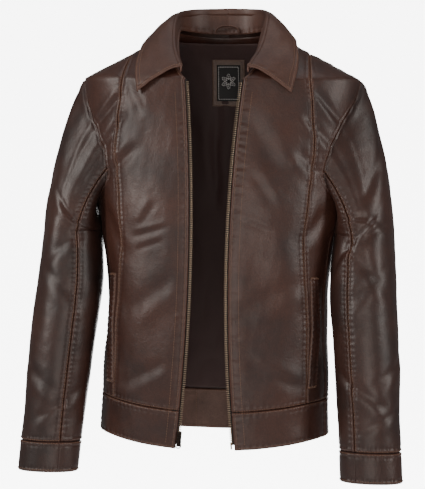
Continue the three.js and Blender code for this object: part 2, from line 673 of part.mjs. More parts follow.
function sleeveSheet(from, to, columns, rows, depth, thickness) {
  return shell(steps(columns), rows, (u, length, side) => (
    sleeveAt(THREE.MathUtils.lerp(from, to, u), length, depth + side * thickness)));
}
addPair('top_sleeve', () => sleeveSheet(ELBOW_SLEEVE_SEAM + SLEEVE_SEAM_GAP, FRONT_SLEEVE_SEAM - SLEEVE_SEAM_GAP, 9,
  sleeveRows, 0, LEATHER), leatherMaterial);
addPair('back_sleeve', () => sleeveSheet(BACK_SLEEVE_SEAM + SLEEVE_SEAM_GAP, ELBOW_SLEEVE_SEAM - SLEEVE_SEAM_GAP, 5,
  sleeveRows, 0, LEATHER), leatherMaterial);
addPair('under_sleeve', () => sleeveSheet(FRONT_SLEEVE_SEAM + SLEEVE_SEAM_GAP,
  2 * Math.PI + BACK_SLEEVE_SEAM - SLEEVE_SEAM_GAP, 7, sleeveRows, 0, LEATHER), leatherMaterial);

const around = (count) => Array.from({ length: count }, (_, k) => (k / count) * 2 * Math.PI);
addPair('sleeve_lining', () => shell(around(14), liningRows,
  (turn, length, side) => sleeveAt(turn, length, LINING_DEPTH - 1 + side * CLOTH), true), liningMaterial);

const cuffTop = 2 + 1.2 / (ELBOW_Z - CUFF_TOP_Z);
const cuffBottom = 2 + CUFF_HEIGHT / (ELBOW_Z - CUFF_TOP_Z);
addPair('cuff', () => shell(around(20), [cuffTop, (cuffTop + cuffBottom) / 2, cuffBottom],
  (turn, length, side) => sleeveAt(turn, length, side * DOUBLED_LEATHER), true), leatherMaterial);

// ---------- collar: an upright stand and a leaf that folds outwards over it ----------
const curveOf = (points) => new THREE.CatmullRomCurve3(points.map((p) => new THREE.Vector3(...p)), false,
  'centripetal');
const neckSeam = curveOf([[51, -91, -77], [64, -60, -47], [70, -20, -6], [62, 42, 3], [34, 69, 3], [0, 77, 3]]);
const foldLine = curveOf([[54, -94, -76], [72, -58, -34], [77, -8, 20], [66, 46, 38], [36, 72, 44], [0, 80, 46]]);
const leafEdge = curveOf([[127, -100, -119], [136, -66, -62], [126, -12, -18], [100, 66, -12], [52, 98, -18],
  [0, 106, -22]]);
const LEAF_SPLIT = 0.56;
const LEAF_FOLD_GAP = 1.6;

// share runs from 0 at the front end to 1 in the middle of the back, and on to 2 at the other end.
function alongCollar(curve, share) {
  const point = curve.getPoint(share > 1 ? 2 - share : share);
  if (share > 1) point.x = -point.x;
  return point;
}
function standPoint(share, height) {
  return alongCollar(neckSeam, share).lerp(alongCollar(foldLine, share), height);
}
function leafPoint(share, reach) {
  const start = alongCollar(foldLine, share);
  const end = alongCollar(leafEdge, share);
  const away = end.clone().sub(start).setZ(0).normalize();
  start.addScaledVector(away, LEAF_FOLD_GAP + DOUBLED_LEATHER / 2);
  const knee = start.clone().addScaledVector(away, 10);
  knee.z += 5;
  const first = start.clone().lerp(knee, reach);
  const second = knee.clone().lerp(end, reach);
  return first.lerp(second, reach);
}
function collarSheet(surface, shares, heights, thickness) {
  return shell(shares, heights, (share, height, side) => {
    const low = clamp(share, 0.01, 1.99);
    const normal = inwardNormal(surface, low, clamp(height, 0.01, 0.99), 0.01, 0.01);
    return surface(share, height).addScaledVector(normal, (side - 0.5) * thickness);
  });
}
const between = (from, to, count) => steps(count).map((k) => THREE.MathUtils.lerp(from, to, k));
addPiece('collar_stand', collarSheet(standPoint, between(0.05, 1.95, 26), [0, 0.5, 1], DOUBLED_LEATHER),
  leatherMaterial());
addPiece('collar_back_leaf', collarSheet(leafPoint, between(LEAF_SPLIT + 0.012, 2 - LEAF_SPLIT - 0.012, 14),
  steps(4), COLLAR_LEAF_THICKNESS), leatherMaterial());
addPair('collar_leaf', () => collarSheet(leafPoint, between(0.02, LEAF_SPLIT - 0.012, 10), steps(4),
  COLLAR_LEAF_THICKNESS), leatherMaterial);

// ---------- label and hanger loop ----------
function labelSheet(width, top, height, depth, thickness) {
  const angle = (x, level) => Math.acos((x / halfWidth(level)) ** (ROUNDNESS / 2));
  return bodySheet({
    from: (level) => angle(width / 2, level),
    to: (level) => Math.PI - angle(width / 2, level),
    top, bottom: top - height, depth, thickness, columns: 4,
  });
}
const PATCH_DEPTH = LINING_DEPTH + CLOTH + 1.2;
addPiece('label_patch', labelSheet(LABEL_WIDTH, LABEL_TOP_Z, LABEL_HEIGHT, PATCH_DEPTH, 1.2), labelMaterial());
addPiece('label_tag', labelSheet(TAG_WIDTH, LABEL_TOP_Z - (LABEL_HEIGHT - TAG_HEIGHT) / 2, TAG_HEIGHT,
  PATCH_DEPTH + 1.6, 0.6), tagMaterial());

const loopShape = new THREE.Shape();
loopShape.moveTo(-LOOP_SPAN / 2, 0);
loopShape.bezierCurveTo(-LOOP_SPAN / 2, LOOP_RISE * 1.3, LOOP_SPAN / 2, LOOP_RISE * 1.3, LOOP_SPAN / 2, 0);
loopShape.lineTo(LOOP_SPAN / 2 - LOOP_THICKNESS - 2, 0);
loopShape.bezierCurveTo(LOOP_SPAN / 2 - LOOP_THICKNESS - 3, LOOP_RISE, 3 + LOOP_THICKNESS - LOOP_SPAN / 2, LOOP_RISE,
  2 + LOOP_THICKNESS - LOOP_SPAN / 2, 0);
loopShape.closePath();
const loopGeometry = new THREE.ExtrudeGeometry(loopShape, {
  depth: LOOP_STRAP, bevelEnabled: false, curveSegments: 8,
});
loopGeometry.rotateX(Math.PI / 2);
loopGeometry.translate(0, 71.4, 6);
loopGeometry.deleteAttribute('normal');
loopGeometry.deleteAttribute('uv');
addPiece('hanger_loop', mergeVertices(loopGeometry, 1e-4), leatherMaterial());

export default group;
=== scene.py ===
# %% [markdown]
# # A leather jacket with an open zip
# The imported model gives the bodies, joints and sizes. Here every panel is made again as the sheet that it
# really is: laid off one body surface or one sleeve surface, creased, given its thickness and stitched.
# Working sizes are in millimetres, and the meshes are written in metres.

# %% Load the frame
import math

import bmesh
import bpy
import numpy as np
from mathutils import Matrix, Vector


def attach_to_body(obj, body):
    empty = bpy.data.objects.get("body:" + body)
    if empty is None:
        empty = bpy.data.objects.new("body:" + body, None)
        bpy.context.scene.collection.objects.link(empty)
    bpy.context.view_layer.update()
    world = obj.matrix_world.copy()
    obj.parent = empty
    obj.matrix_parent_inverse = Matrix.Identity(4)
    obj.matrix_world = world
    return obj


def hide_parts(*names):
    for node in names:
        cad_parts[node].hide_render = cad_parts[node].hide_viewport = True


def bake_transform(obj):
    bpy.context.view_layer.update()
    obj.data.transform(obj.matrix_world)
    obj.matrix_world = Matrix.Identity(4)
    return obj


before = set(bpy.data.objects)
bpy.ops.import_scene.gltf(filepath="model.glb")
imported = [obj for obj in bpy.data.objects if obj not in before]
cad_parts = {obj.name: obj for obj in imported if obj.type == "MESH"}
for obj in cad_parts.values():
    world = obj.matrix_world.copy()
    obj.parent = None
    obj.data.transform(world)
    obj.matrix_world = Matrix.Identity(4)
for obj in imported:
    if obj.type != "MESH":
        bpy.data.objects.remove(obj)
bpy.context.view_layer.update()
MM = 0.001

# %% [markdown]
# ## The camera, the floor and the light
# The jacket is seen from the front, turned a little so that the wearer's left is nearer, with a long lens
# at the height of the chest. Wide soft lamps on both sides draw the long highlights that show waxed leather.

# %% Camera and studio
VIEW_AZIMUTH = math.radians(7.5)
VIEW_DISTANCE = 2.7
VIEW_HEIGHT = -0.364
VIEW_ROLL = math.radians(-1.1)
VIEW_LENS = 117
VIEW_SHIFT = -0.0116
STUDIO_WHITE = "#f5f5f5"

camera_data = bpy.data.cameras.new("camera")
camera_data.lens = VIEW_LENS
camera_data.shift_x = VIEW_SHIFT
camera = bpy.data.objects.new("camera", camera_data)
bpy.context.scene.collection.objects.link(camera)
camera.location = (VIEW_DISTANCE * math.sin(VIEW_AZIMUTH), -VIEW_DISTANCE * math.cos(VIEW_AZIMUTH), VIEW_HEIGHT)
camera.rotation_euler = (math.pi / 2, VIEW_ROLL, VIEW_AZIMUTH)
bpy.context.scene.camera = camera


def linear(code):
    """A colour written as an sRGB hex code, as the linear values that the shader takes."""
    parts = [int(code[k:k + 2], 16) / 255 for k in (1, 3, 5)]
    return [p / 12.92 if p <= 0.04045 else ((p + 0.055) / 1.055) ** 2.4 for p in parts] + [1.0]


def add(tree, kind, inputs=None, **settings):
    """Adds a shader node. An input takes a value, or the output socket that feeds it."""
    item = tree.nodes.new(kind)
    for key, value in settings.items():
        setattr(item, key, value)
    for key, value in (inputs or {}).items():
        if isinstance(value, bpy.types.NodeSocket):
            tree.links.new(value, item.inputs[key])
        else:
            item.inputs[key].default_value = value
    return item


def lamp(name, place, aim, size, power, colour):
    """A soft rectangular lamp at one place, turned to face another."""
    data = bpy.data.lights.new(name, "AREA")
    data.shape = "RECTANGLE"
    data.size, data.size_y = size
    data.energy = power
    data.color = linear(colour)[:3]
    item = bpy.data.objects.new(name, data)
    bpy.context.scene.collection.objects.link(item)
    item.location = place
    item.rotation_euler = (Vector(aim) - Vector(place)).to_track_quat("-Z", "Y").to_euler()
    return item


lamp("key_left", (-2.3, -1.7, 0.9), (0, 0, -0.35), (0.55, 2.0), 38, "#fffaf4")
lamp("side_right", (2.6, -1.1, 0.5), (0, 0, -0.35), (0.55, 2.0), 25, "#fffaf4")
lamp("top", (0.0, -0.2, 2.2), (0, 0, -0.3), (2.0, 1.2), 9, "#ffffff")
lamp("front_low", (0.3, -3.4, -0.3), (0, 0, -0.4), (1.4, 1.4), 19, "#fff8f0")

world = bpy.data.worlds.new("studio")
bpy.context.scene.world = world
world.use_nodes = True
sky = world.node_tree.nodes["Background"]
sky.inputs["Color"].default_value = linear(STUDIO_WHITE)
sky.inputs["Strength"].default_value = 0.14


def new_material(name, inputs):
    """A material whose main shader has these inputs set, and that shader."""
    material = bpy.data.materials.new(name)
    material.use_nodes = True
    shader = material.node_tree.nodes["Principled BSDF"]
    for key, value in inputs.items():
        shader.inputs[key].default_value = value
    return material, shader


def object_from(name, bm, material, place=None):
    """Writes a bmesh into a new object with one material. A place moves the mesh, not the object."""
    mesh = bpy.data.meshes.new(name)
    bm.to_mesh(mesh)
    bm.free()
    if place is not None:
        mesh.transform(place)
    item = bpy.data.objects.new(name, mesh)
    bpy.context.scene.collection.objects.link(item)
    mesh.materials.append(material)
    return item


def studio_sheet(name, size, place, material_name, inputs):
    """A flat square that belongs to the studio and not to the jacket."""
    bm = bmesh.new()
    bmesh.ops.create_grid(bm, x_segments=1, y_segments=1, size=size)
    object_from(name, bm, new_material(material_name, inputs)[0], place)


studio_sheet("floor", 6, Matrix.Translation((0, 0, -1.75)), "white_studio_floor",
             {"Base Color": linear(STUDIO_WHITE), "Roughness": 0.9})
# A lit paper backdrop stands far behind, so that the jacket is seen against a plain pale ground.
studio_sheet("backdrop", 1.7, Matrix.Translation((-0.6, 5.5, -0.1)) @ Matrix.Rotation(math.pi / 2, 4, "X"),
             "lit_backdrop_paper", {"Base Color": linear(STUDIO_WHITE), "Roughness": 1.0,
                                    "Emission Color": linear("#ffffff"), "Emission Strength": 7.0})

# %% [markdown]
# ## Sizes
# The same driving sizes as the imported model: a body surface of rounded slices that narrows to the shoulder
# ridge, a zip line that is an arc, and a sleeve that runs from the armhole to the cuff.

# %% Driving sizes
NECK_HALF_WIDTH = 75
SHOULDER_HALF_WIDTH = 235
SHOULDER_Z = -84
ARMPIT_Z = -295
BAND_TOP_Z = -620
HEM_Z = -683
FRONT_DROOP = 17
BACK_DROOP = 6
SIDE_LIFT = 4
ROUNDNESS = 2.2
ARMHOLE_FRONT = 64
ARMHOLE_BACK = 75
ARMHOLE_LOW = 0.74
PRINCESS_TOP_Z = -40
FOLD_TOP_X = 57
FOLD_TOP_Z = -80
NECK_END_Z = -92
SIDES = (("left", 1), ("right", -1))
LEATHER = 1.3
DOUBLED_LEATHER = 2.8
LINING_CLOTH = 0.8
THIN_CLOTH = 0.6
BAND_GAP = 0.4
RIDGE_GAP = 0.6
LINING_DEPTH = 6
LEATHER_EDGE = 5.2
TAPE_DEPTH = 2
CUFF_TOP_Z = -695
CUFF_HEIGHT = 50
ELBOW_Z = -345
FOREARM = ELBOW_Z - CUFF_TOP_Z


def profile(pairs):
    """A smooth curve through (height, value) pairs, written from high to low."""
    z = np.array([p[0] for p in pairs][::-1], float)
    v = np.array([p[1] for p in pairs][::-1], float)
    m = np.empty_like(v)
    m[1:-1] = (v[2:] - v[:-2]) / (z[2:] - z[:-2])
    m[0] = (v[1] - v[0]) / (z[1] - z[0])
    m[-1] = (v[-1] - v[-2]) / (z[-1] - z[-2])

    def at(height):
        h = np.clip(height, z[0], z[-1])
        k = np.clip(np.searchsorted(z, h) - 1, 0, len(z) - 2)
        span = z[k + 1] - z[k]
        t = (h - z[k]) / span
        s = t * t * (3 - 2 * t)
        return v[k] * (1 - s) + v[k + 1] * s + (t * (1 - t) ** 2 * m[k] + t * t * (t - 1) * m[k + 1]) * span
    return at


def smooth(value):
    t = np.clip(value, 0, 1)
    return t * t * (3 - 2 * t)


body_width = profile([(SHOULDER_Z, SHOULDER_HALF_WIDTH), (-150, 227), (ARMPIT_Z, 207), (-350, 198), (-400, 191),
                      (-480, 187), (-560, 191), (-700, 195)])
upper_front = profile([(0, 44), (-50, 64), (-90, 94)])
back_depth = profile([(0, 80), (-40, 100), (-100, 114), (-200, 124), (-300, 121), (-400, 112), (-480, 110),
                      (-700, 117)])
neckline_x = profile([(0, NECK_HALF_WIDTH), (-50, 72), (FOLD_TOP_Z, FOLD_TOP_X), (NECK_END_Z, 46)])
princess_x = profile([(PRINCESS_TOP_Z, 151), (-110, 159), (-207, 166), (-290, 158), (-373, 152), (-503, 159),
                      (-628, 162), (-700, 163)])
back_seam_x = profile([(PRINCESS_TOP_Z, 151), (-150, 126), (-300, 112), (-480, 100), (-700, 108)])

# %% [markdown]
# ## The zip line
# A zip slider can only follow a line of one curvature without rocking, so the front edges are arcs. The
# frame's joint turns the slider about the arc's far axis, and the teeth here are laid on the same arc.

# %% The zip arc
ZIP_BOTTOM = np.array([43.0, -118.0, -690.0])
ZIP_TOP = np.array([44.0, -92.0, -90.0])
ZIP_BULGE = np.array([-15.5, -14.0, 0.0])
ZIP_HEIGHTS = (-720, -60)
FRONT_TOP_Z = -90

zip_up = (ZIP_TOP - ZIP_BOTTOM) / np.linalg.norm(ZIP_TOP - ZIP_BOTTOM)
zip_bulge = ZIP_BULGE - zip_up * (ZIP_BULGE @ zip_up)
zip_rise = np.linalg.norm(zip_bulge)
zip_out = zip_bulge / zip_rise
zip_radius = (np.linalg.norm(ZIP_TOP - ZIP_BOTTOM) ** 2 / 4 + zip_rise ** 2) / (2 * zip_rise)
zip_centre = (ZIP_TOP + ZIP_BOTTOM) / 2 + zip_out * (zip_rise - zip_radius)
zip_axis = np.cross(zip_up, zip_out)


def zip_angle_at(z):
    angle = np.zeros_like(np.asarray(z, float))
    for _ in range(4):
        height = zip_centre[2] + zip_radius * zip_out[2] * np.cos(angle)
        angle = np.arcsin((z - height) / (zip_radius * zip_up[2]))
    return angle


def zip_frame(angle):
    """Points on the zip line, with the directions along it, into the panel and out of the front."""
    c, s = np.cos(angle)[..., None], np.sin(angle)[..., None]
    out = zip_out * c + zip_up * s
    along = zip_up * c - zip_out * s
    turn = math.atan2(-zip_out[0], -zip_out[1])
    panel = zip_axis * math.cos(turn) - out * math.sin(turn)
    front = zip_axis * math.sin(turn) + out * math.cos(turn)
    return zip_centre + out * zip_radius, along, panel, front


def zip_at(z):
    return zip_frame(zip_angle_at(np.clip(z, *ZIP_HEIGHTS)))[0]


print("zip arc radius, mm:", round(zip_radius))

# %% [markdown]
# ## The body surface
# Any point on the outside of the jacket is found from an angle round the body and a level. The same
# function shapes the panels, the lining inside them and the bands, so that they nest as the real layers do.

# %% The body surface
SIDE_SEAM = math.radians(14)
DROOP_TOP_Z = -480
DROOP_REACH = 140


def ridge_x(z):
    """How far out the shoulder ridge lies at a height."""
    slope = (SHOULDER_HALF_WIDTH - NECK_HALF_WIDTH) / SHOULDER_Z
    return NECK_HALF_WIDTH + slope * z


def half_width(z):
    return np.where(z >= SHOULDER_Z, ridge_x(z), body_width(z))


def front_depth(z):
    low = np.minimum(z, FRONT_TOP_Z)
    zip_point = zip_at(low)
    share = 1 - (np.abs(zip_point[..., 0]) / half_width(low)) ** ROUNDNESS
    return np.where(z > FRONT_TOP_Z, upper_front(z), (TAPE_DEPTH - zip_point[..., 1]) / share ** (1 / ROUNDNESS))


def body_point(angle, level):
    c, s = np.cos(angle), np.sin(angle)
    droop = SIDE_LIFT - (SIDE_LIFT + np.where(s < 0, FRONT_DROOP, BACK_DROOP)) * s * s
    z = level + droop * smooth((DROOP_TOP_Z - level) / DROOP_REACH)
    depth = np.where(s < 0, front_depth(z), back_depth(z))
    power = 2 / ROUNDNESS
    x = half_width(z) * np.sign(c) * np.abs(c) ** power
    y = depth * np.sign(s) * np.abs(s) ** power
    return np.stack([x, y, z], -1)


def front_angle(x, level):
    """The angle at which the front reaches a distance from the middle, given as a number or a curve."""
    z = np.asarray(level, float)
    for _ in range(4):
        reach = x(z) if callable(x) else x
        angle = -np.arccos(np.clip(reach / half_width(z), 0, 1) ** (ROUNDNESS / 2))
        z = body_point(angle, level)[..., 2]
    return angle


def armhole_share(z):
    s = np.clip((SHOULDER_Z - z) / (SHOULDER_Z - ARMPIT_Z), 0, 1)
    low = np.sqrt(np.maximum(0, 1 - ((s - ARMHOLE_LOW) / (1 - ARMHOLE_LOW)) ** 2))
    return np.where(s < ARMHOLE_LOW, np.sin(math.pi / 2 * s / ARMHOLE_LOW), low)


def outer_angle(z, back=False):
    """The shoulder ridge, then the armhole, then the side seam."""
    depth = back_depth(z) if back else front_depth(z)
    reach = (ARMHOLE_BACK if back else ARMHOLE_FRONT) * armhole_share(z)
    angle = np.arcsin(np.clip(reach / depth, 0, 1) ** (ROUNDNESS / 2)) * (1 if back else -1)
    return np.where(z <= ARMPIT_Z, -SIDE_SEAM * smooth((ARMPIT_Z - z) / 60), angle)


def outer_back(z):
    return outer_angle(z, back=True)


def zip_side(distance):
    return lambda level: front_angle(lambda z: zip_at(z)[..., 0] + distance, level)


def panel_inner(level):
    """The front panel's inner edge: the neckline, then the zip."""
    edge = front_angle(neckline_x, level)
    return np.where(level > NECK_END_Z, edge, zip_side(LEATHER_EDGE)(level))


def princess(level):
    return front_angle(princess_x, level)


def back_seam(level):
    return np.arccos((back_seam_x(level) / half_width(level)) ** (ROUNDNESS / 2))


def mirrored(line):
    return lambda level: math.pi - line(level)


# %% [markdown]
# ## Creases
# Leather of this weight doesn't crumple. It hangs in broad shallow waves, and it creases where it is
# pulled: from the armholes over the chest, at the elbows, and along every stitched seam, where the thread
# gathers it a little. Waves are sums of sines with fixed random directions, so each run is the same.

# %% Waves and creases
def waves(points, length, seed, stretch=(1, 1, 1), count=9):
    """A smooth wavy value from -1 to 1 whose waves are about `length` long, stretched along each axis."""
    random = np.random.default_rng(seed)
    total = np.zeros(points.shape[:-1])
    for _ in range(count):
        direction = random.normal(size=3)
        direction /= np.linalg.norm(direction)
        pitch = length * random.uniform(0.7, 1.5)
        phase = random.uniform(0, 2 * math.pi)
        total += np.sin(points @ (direction / np.array(stretch)) * 2 * math.pi / pitch + phase)
    return total / math.sqrt(count) / 1.4


def crease(points, start, end, width, depth):
    """A valley with a soft ridge beside it, between two (x, z) places, fading out at both ends."""
    a, b = np.array(start, float), np.array(end, float)
    p = points[..., [0, 2]]
    along = (p - a) @ (b - a) / ((b - a) @ (b - a))
    off = p - (a + np.clip(along, 0, 1)[..., None] * (b - a))
    side = (p - a) @ np.array([-(b - a)[1], (b - a)[0]]) / np.linalg.norm(b - a)
    fade = np.exp(-(np.maximum(np.abs(along - 0.5) - 0.3, 0) / 0.22) ** 2)
    gap = np.linalg.norm(off, axis=-1)
    valley = -np.exp(-(gap / width) ** 2)
    ridge = 0.8 * np.exp(-((side - 1.7 * width) / (1.1 * width)) ** 2) * (gap < 6 * width)
    return depth * (valley + ridge) * fade


# Each crease: the body's side, its two (x, z) ends, its width and its depth.
FRONT_CREASES = [
    (-1, (-206, -170), (-160, -118), 6, 2.6),
    (-1, (-196, -214), (-150, -150), 7, 2.2),
    (-1, (-190, -260), (-128, -205), 9, 2.4),
    (-1, (-188, -300), (-150, -380), 10, 2.0),
    (-1, (-150, -90), (-120, -150), 9, 1.6),
    (1, (208, -160), (166, -108), 6, 2.6),
    (1, (200, -205), (152, -150), 7, 2.2),
    (1, (186, -255), (140, -210), 9, 2.0),
    (1, (190, -300), (150, -360), 10, 2.2),
    (1, (60, -150), (110, -240), 14, 1.4),
    (1, (150, -420), (60, -470), 14, 1.6),
    (-1, (-60, -420), (-140, -480), 14, 1.6),
    (-1, (-70, -560), (-150, -600), 10, 1.6),
    (1, (70, -560), (150, -596), 10, 1.6),
    (-1, (-128, -352), (-72, -338), 5, 0.9),
    (-1, (-122, -374), (-78, -360), 5, 0.8),
    (-1, (-118, -336), (-92, -298), 7, 0.9),
    (1, (44, -322), (100, -342), 5, 0.7),
    (1, (70, -250), (104, -300), 8, 0.9),
]


def body_relief(points):
    """How far the leather stands out from, or sinks below, the plain body surface."""
    z = points[..., 2]
    hang = smooth((-130 - z) / 160)
    relief = 2.6 * hang * waves(points, 88, 11, (1, 1, 4.5))
    relief += 1.2 * waves(points, 66, 12, (1.2, 1.2, 1.6))
    relief += 0.22 * waves(points, 24, 13, (1, 1, 1.6))
    front = points[..., 1] < 10
    for side, start, end, width, depth in FRONT_CREASES:
        near = front & (points[..., 0] * side > 0)
        relief += np.where(near, crease(points, start, end, width, depth), 0)
    back = points[..., 1] >= 0
    relief += np.where(back, 1.6 * waves(points, 120, 14, (1, 1, 3)), 0)
    return relief


# %% [markdown]
# ## From a surface to a piece
# A sheet starts as a flat bmesh grid whose vertices are moved to their places on the surface, which keeps
# clean rows for the stitching and the pattern. Distances to the four edges shape the turned edges, the
# gather along the stitches, and the rubbed, lighter leather there. Solidify gives the real thickness.

# %% Making sheets
def lengths(points, axis):
    steps = np.linalg.norm(np.diff(points, axis=axis), axis=-1)
    zero = np.zeros_like(np.take(steps, [0], axis=axis))
    return np.concatenate([zero, np.cumsum(steps, axis=axis)], axis=axis)


def normals_of(points):
    across = np.gradient(points, axis=1)
    upward = np.gradient(points, axis=0)
    normal = np.cross(across, upward)
    return normal / np.maximum(np.linalg.norm(normal, axis=-1, keepdims=True), 1e-9)


def edge_distances(points):
    """Distances along the sheet to its start, stop, bottom and top edges."""
    across, upward = lengths(points, 1), lengths(points, 0)
    return {"start": across, "stop": across[:, -1:] - across, "bottom": upward, "top": upward[-1:] - upward}


def make_sheet(name, points, thickness, material, wear=None, offset=-1.0):
    """A piece from rows of points in mm, bottom row first, whose columns run so that it faces outwards."""
    rows, columns = points.shape[:2]
    bm = bmesh.new()
    bmesh.ops.create_grid(bm, x_segments=columns - 1, y_segments=rows - 1, size=1)
    uv = bm.loops.layers.uv.new("cloth")
    rub = bm.verts.layers.float.new("wear")
    across, upward = lengths(points, 1), lengths(points, 0)
    places = {}
    for vert in bm.verts:
        i = round((vert.co.y + 1) / 2 * (rows - 1))
        j = round((vert.co.x + 1) / 2 * (columns - 1))
        places[vert.index] = (i, j)
        vert.co = points[i, j] * MM
        vert[rub] = 0.0 if wear is None else float(wear[i, j])
    for face in bm.faces:
        face.smooth = True
        for loop in face.loops:
            i, j = places[loop.vert.index]
            loop[uv].uv = (across[i, j] * MM, upward[i, j] * MM)
    piece = object_from(name, bm, material)
    wall = piece.modifiers.new("thickness", "SOLIDIFY")
    wall.thickness = thickness * MM
    wall.offset = offset
    wall.use_quality_normals = True
    return piece


def attach(piece, way, nodes=()):
    """way is a body's name, which the piece is parented to, or (body, body, start, end), whose entries are not
    used: that piece stays where it is, with no parent.
    """
    if isinstance(way, str):
        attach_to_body(piece, way)
    else:
        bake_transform(piece)
    if nodes:
        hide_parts(*nodes)
    return piece


def lay(name, points, thickness, material, way, nodes, wear=None, offset=-1.0):
    piece = make_sheet(name, points, thickness, material, wear, offset)
    return attach(piece, way, nodes)


# %% [markdown]
# ## Stitches
# Topstitching is thick waxed thread that dives in and out of the leather. Each row is one thin tube along
# the seam whose thickness swells at each stitch and sinks below the surface between them.

# %% Making stitch rows
STITCH_PITCH = 4.2
THREAD_RADIUS = 0.48
# How far a row lies from most seams, from a band's or the front's own seam, from a fold and from the zip.
BY_SEAM, BY_BAND, BY_FOLD, BY_ZIP = 2.4, 2.6, 5, 5.5


def resample(points, normals, step):
    distance = np.concatenate([[0], np.cumsum(np.linalg.norm(np.diff(points, axis=0), axis=1))])
    count = max(int(distance[-1] / step), 4)
    at = np.linspace(0, distance[-1], count + 1)
    new = np.stack([np.interp(at, distance, points[:, k]) for k in range(3)], 1)
    out = np.stack([np.interp(at, distance, normals[:, k]) for k in range(3)], 1)
    return new, out / np.linalg.norm(out, axis=1, keepdims=True), at


def line_on(points, edge, distance, trim=2.0):
    """A line on a sheet at a set distance from one of its edges, with the sheet's normals."""
    normals = normals_of(points)
    from_edge = edge_distances(points)[edge]
    if edge in ("bottom", "top"):
        points, normals, from_edge = points.transpose(1, 0, 2), normals.transpose(1, 0, 2), from_edge.T
    if edge in ("stop", "top"):
        points, normals, from_edge = points[:, ::-1], normals[:, ::-1], from_edge[:, ::-1]
    line, out = [], []
    for row, normal, reach in zip(points, normals, from_edge):
        line.append([np.interp(distance, reach, row[:, k]) for k in range(3)])
        out.append([np.interp(distance, reach, normal[:, k]) for k in range(3)])
    line, out = np.array(line), np.array(out)
    run = np.concatenate([[0], np.cumsum(np.linalg.norm(np.diff(line, axis=0), axis=1))])
    keep = (run >= trim) & (run <= run[-1] - trim)
    return line[keep], out[keep]


def stitch_rows(name, lines, material, way, lift=0.18, thick=THREAD_RADIUS):
    """One piece holding several rows of stitches, each given as points and normals in mm."""
    bm = bmesh.new()
    for points, normals in lines:
        path, out, at = resample(points, normals, STITCH_PITCH / 6)
        along = np.gradient(path, axis=0)
        along /= np.linalg.norm(along, axis=1, keepdims=True)
        across = np.cross(along, out)
        phase = (at / STITCH_PITCH) % 1
        swell = np.sin(math.pi * np.clip(phase / 0.78, 0, 1)) ** 0.5
        radius = thick * (0.35 + 0.65 * swell)
        height = lift - 0.75 * (1 - swell)
        ring = bmesh.ops.create_grid(bm, x_segments=5, y_segments=len(path) - 1, size=1)["verts"]
        for vert in ring:
            i = round((vert.co.y + 1) / 2 * (len(path) - 1))
            turn = -math.pi * vert.co.x
            push = across[i] * math.sin(turn) * radius[i] + out[i] * (height[i] + math.cos(turn) * radius[i])
            vert.co = (path[i] + push) * MM
    bmesh.ops.remove_doubles(bm, verts=bm.verts, dist=1e-6)
    for face in bm.faces:
        face.smooth = True
    return attach(object_from(name, bm, material), way)


def seam(name, points, spots, way):
    """Rows of thread on one sheet. A spot is an edge, a distance from it, and a trim if that isn't the usual."""
    stitch_rows(name, [line_on(points, *spot) for spot in spots], THREAD, way)


# %% [markdown]
# ## Waxed leather
# Oiled, waxed cowhide: a dark red-brown that goes lighter where the wax has moved, a fine pebble grain,
# a soft sheen from the wax, and tan showing through along the seams, where the edges rub.

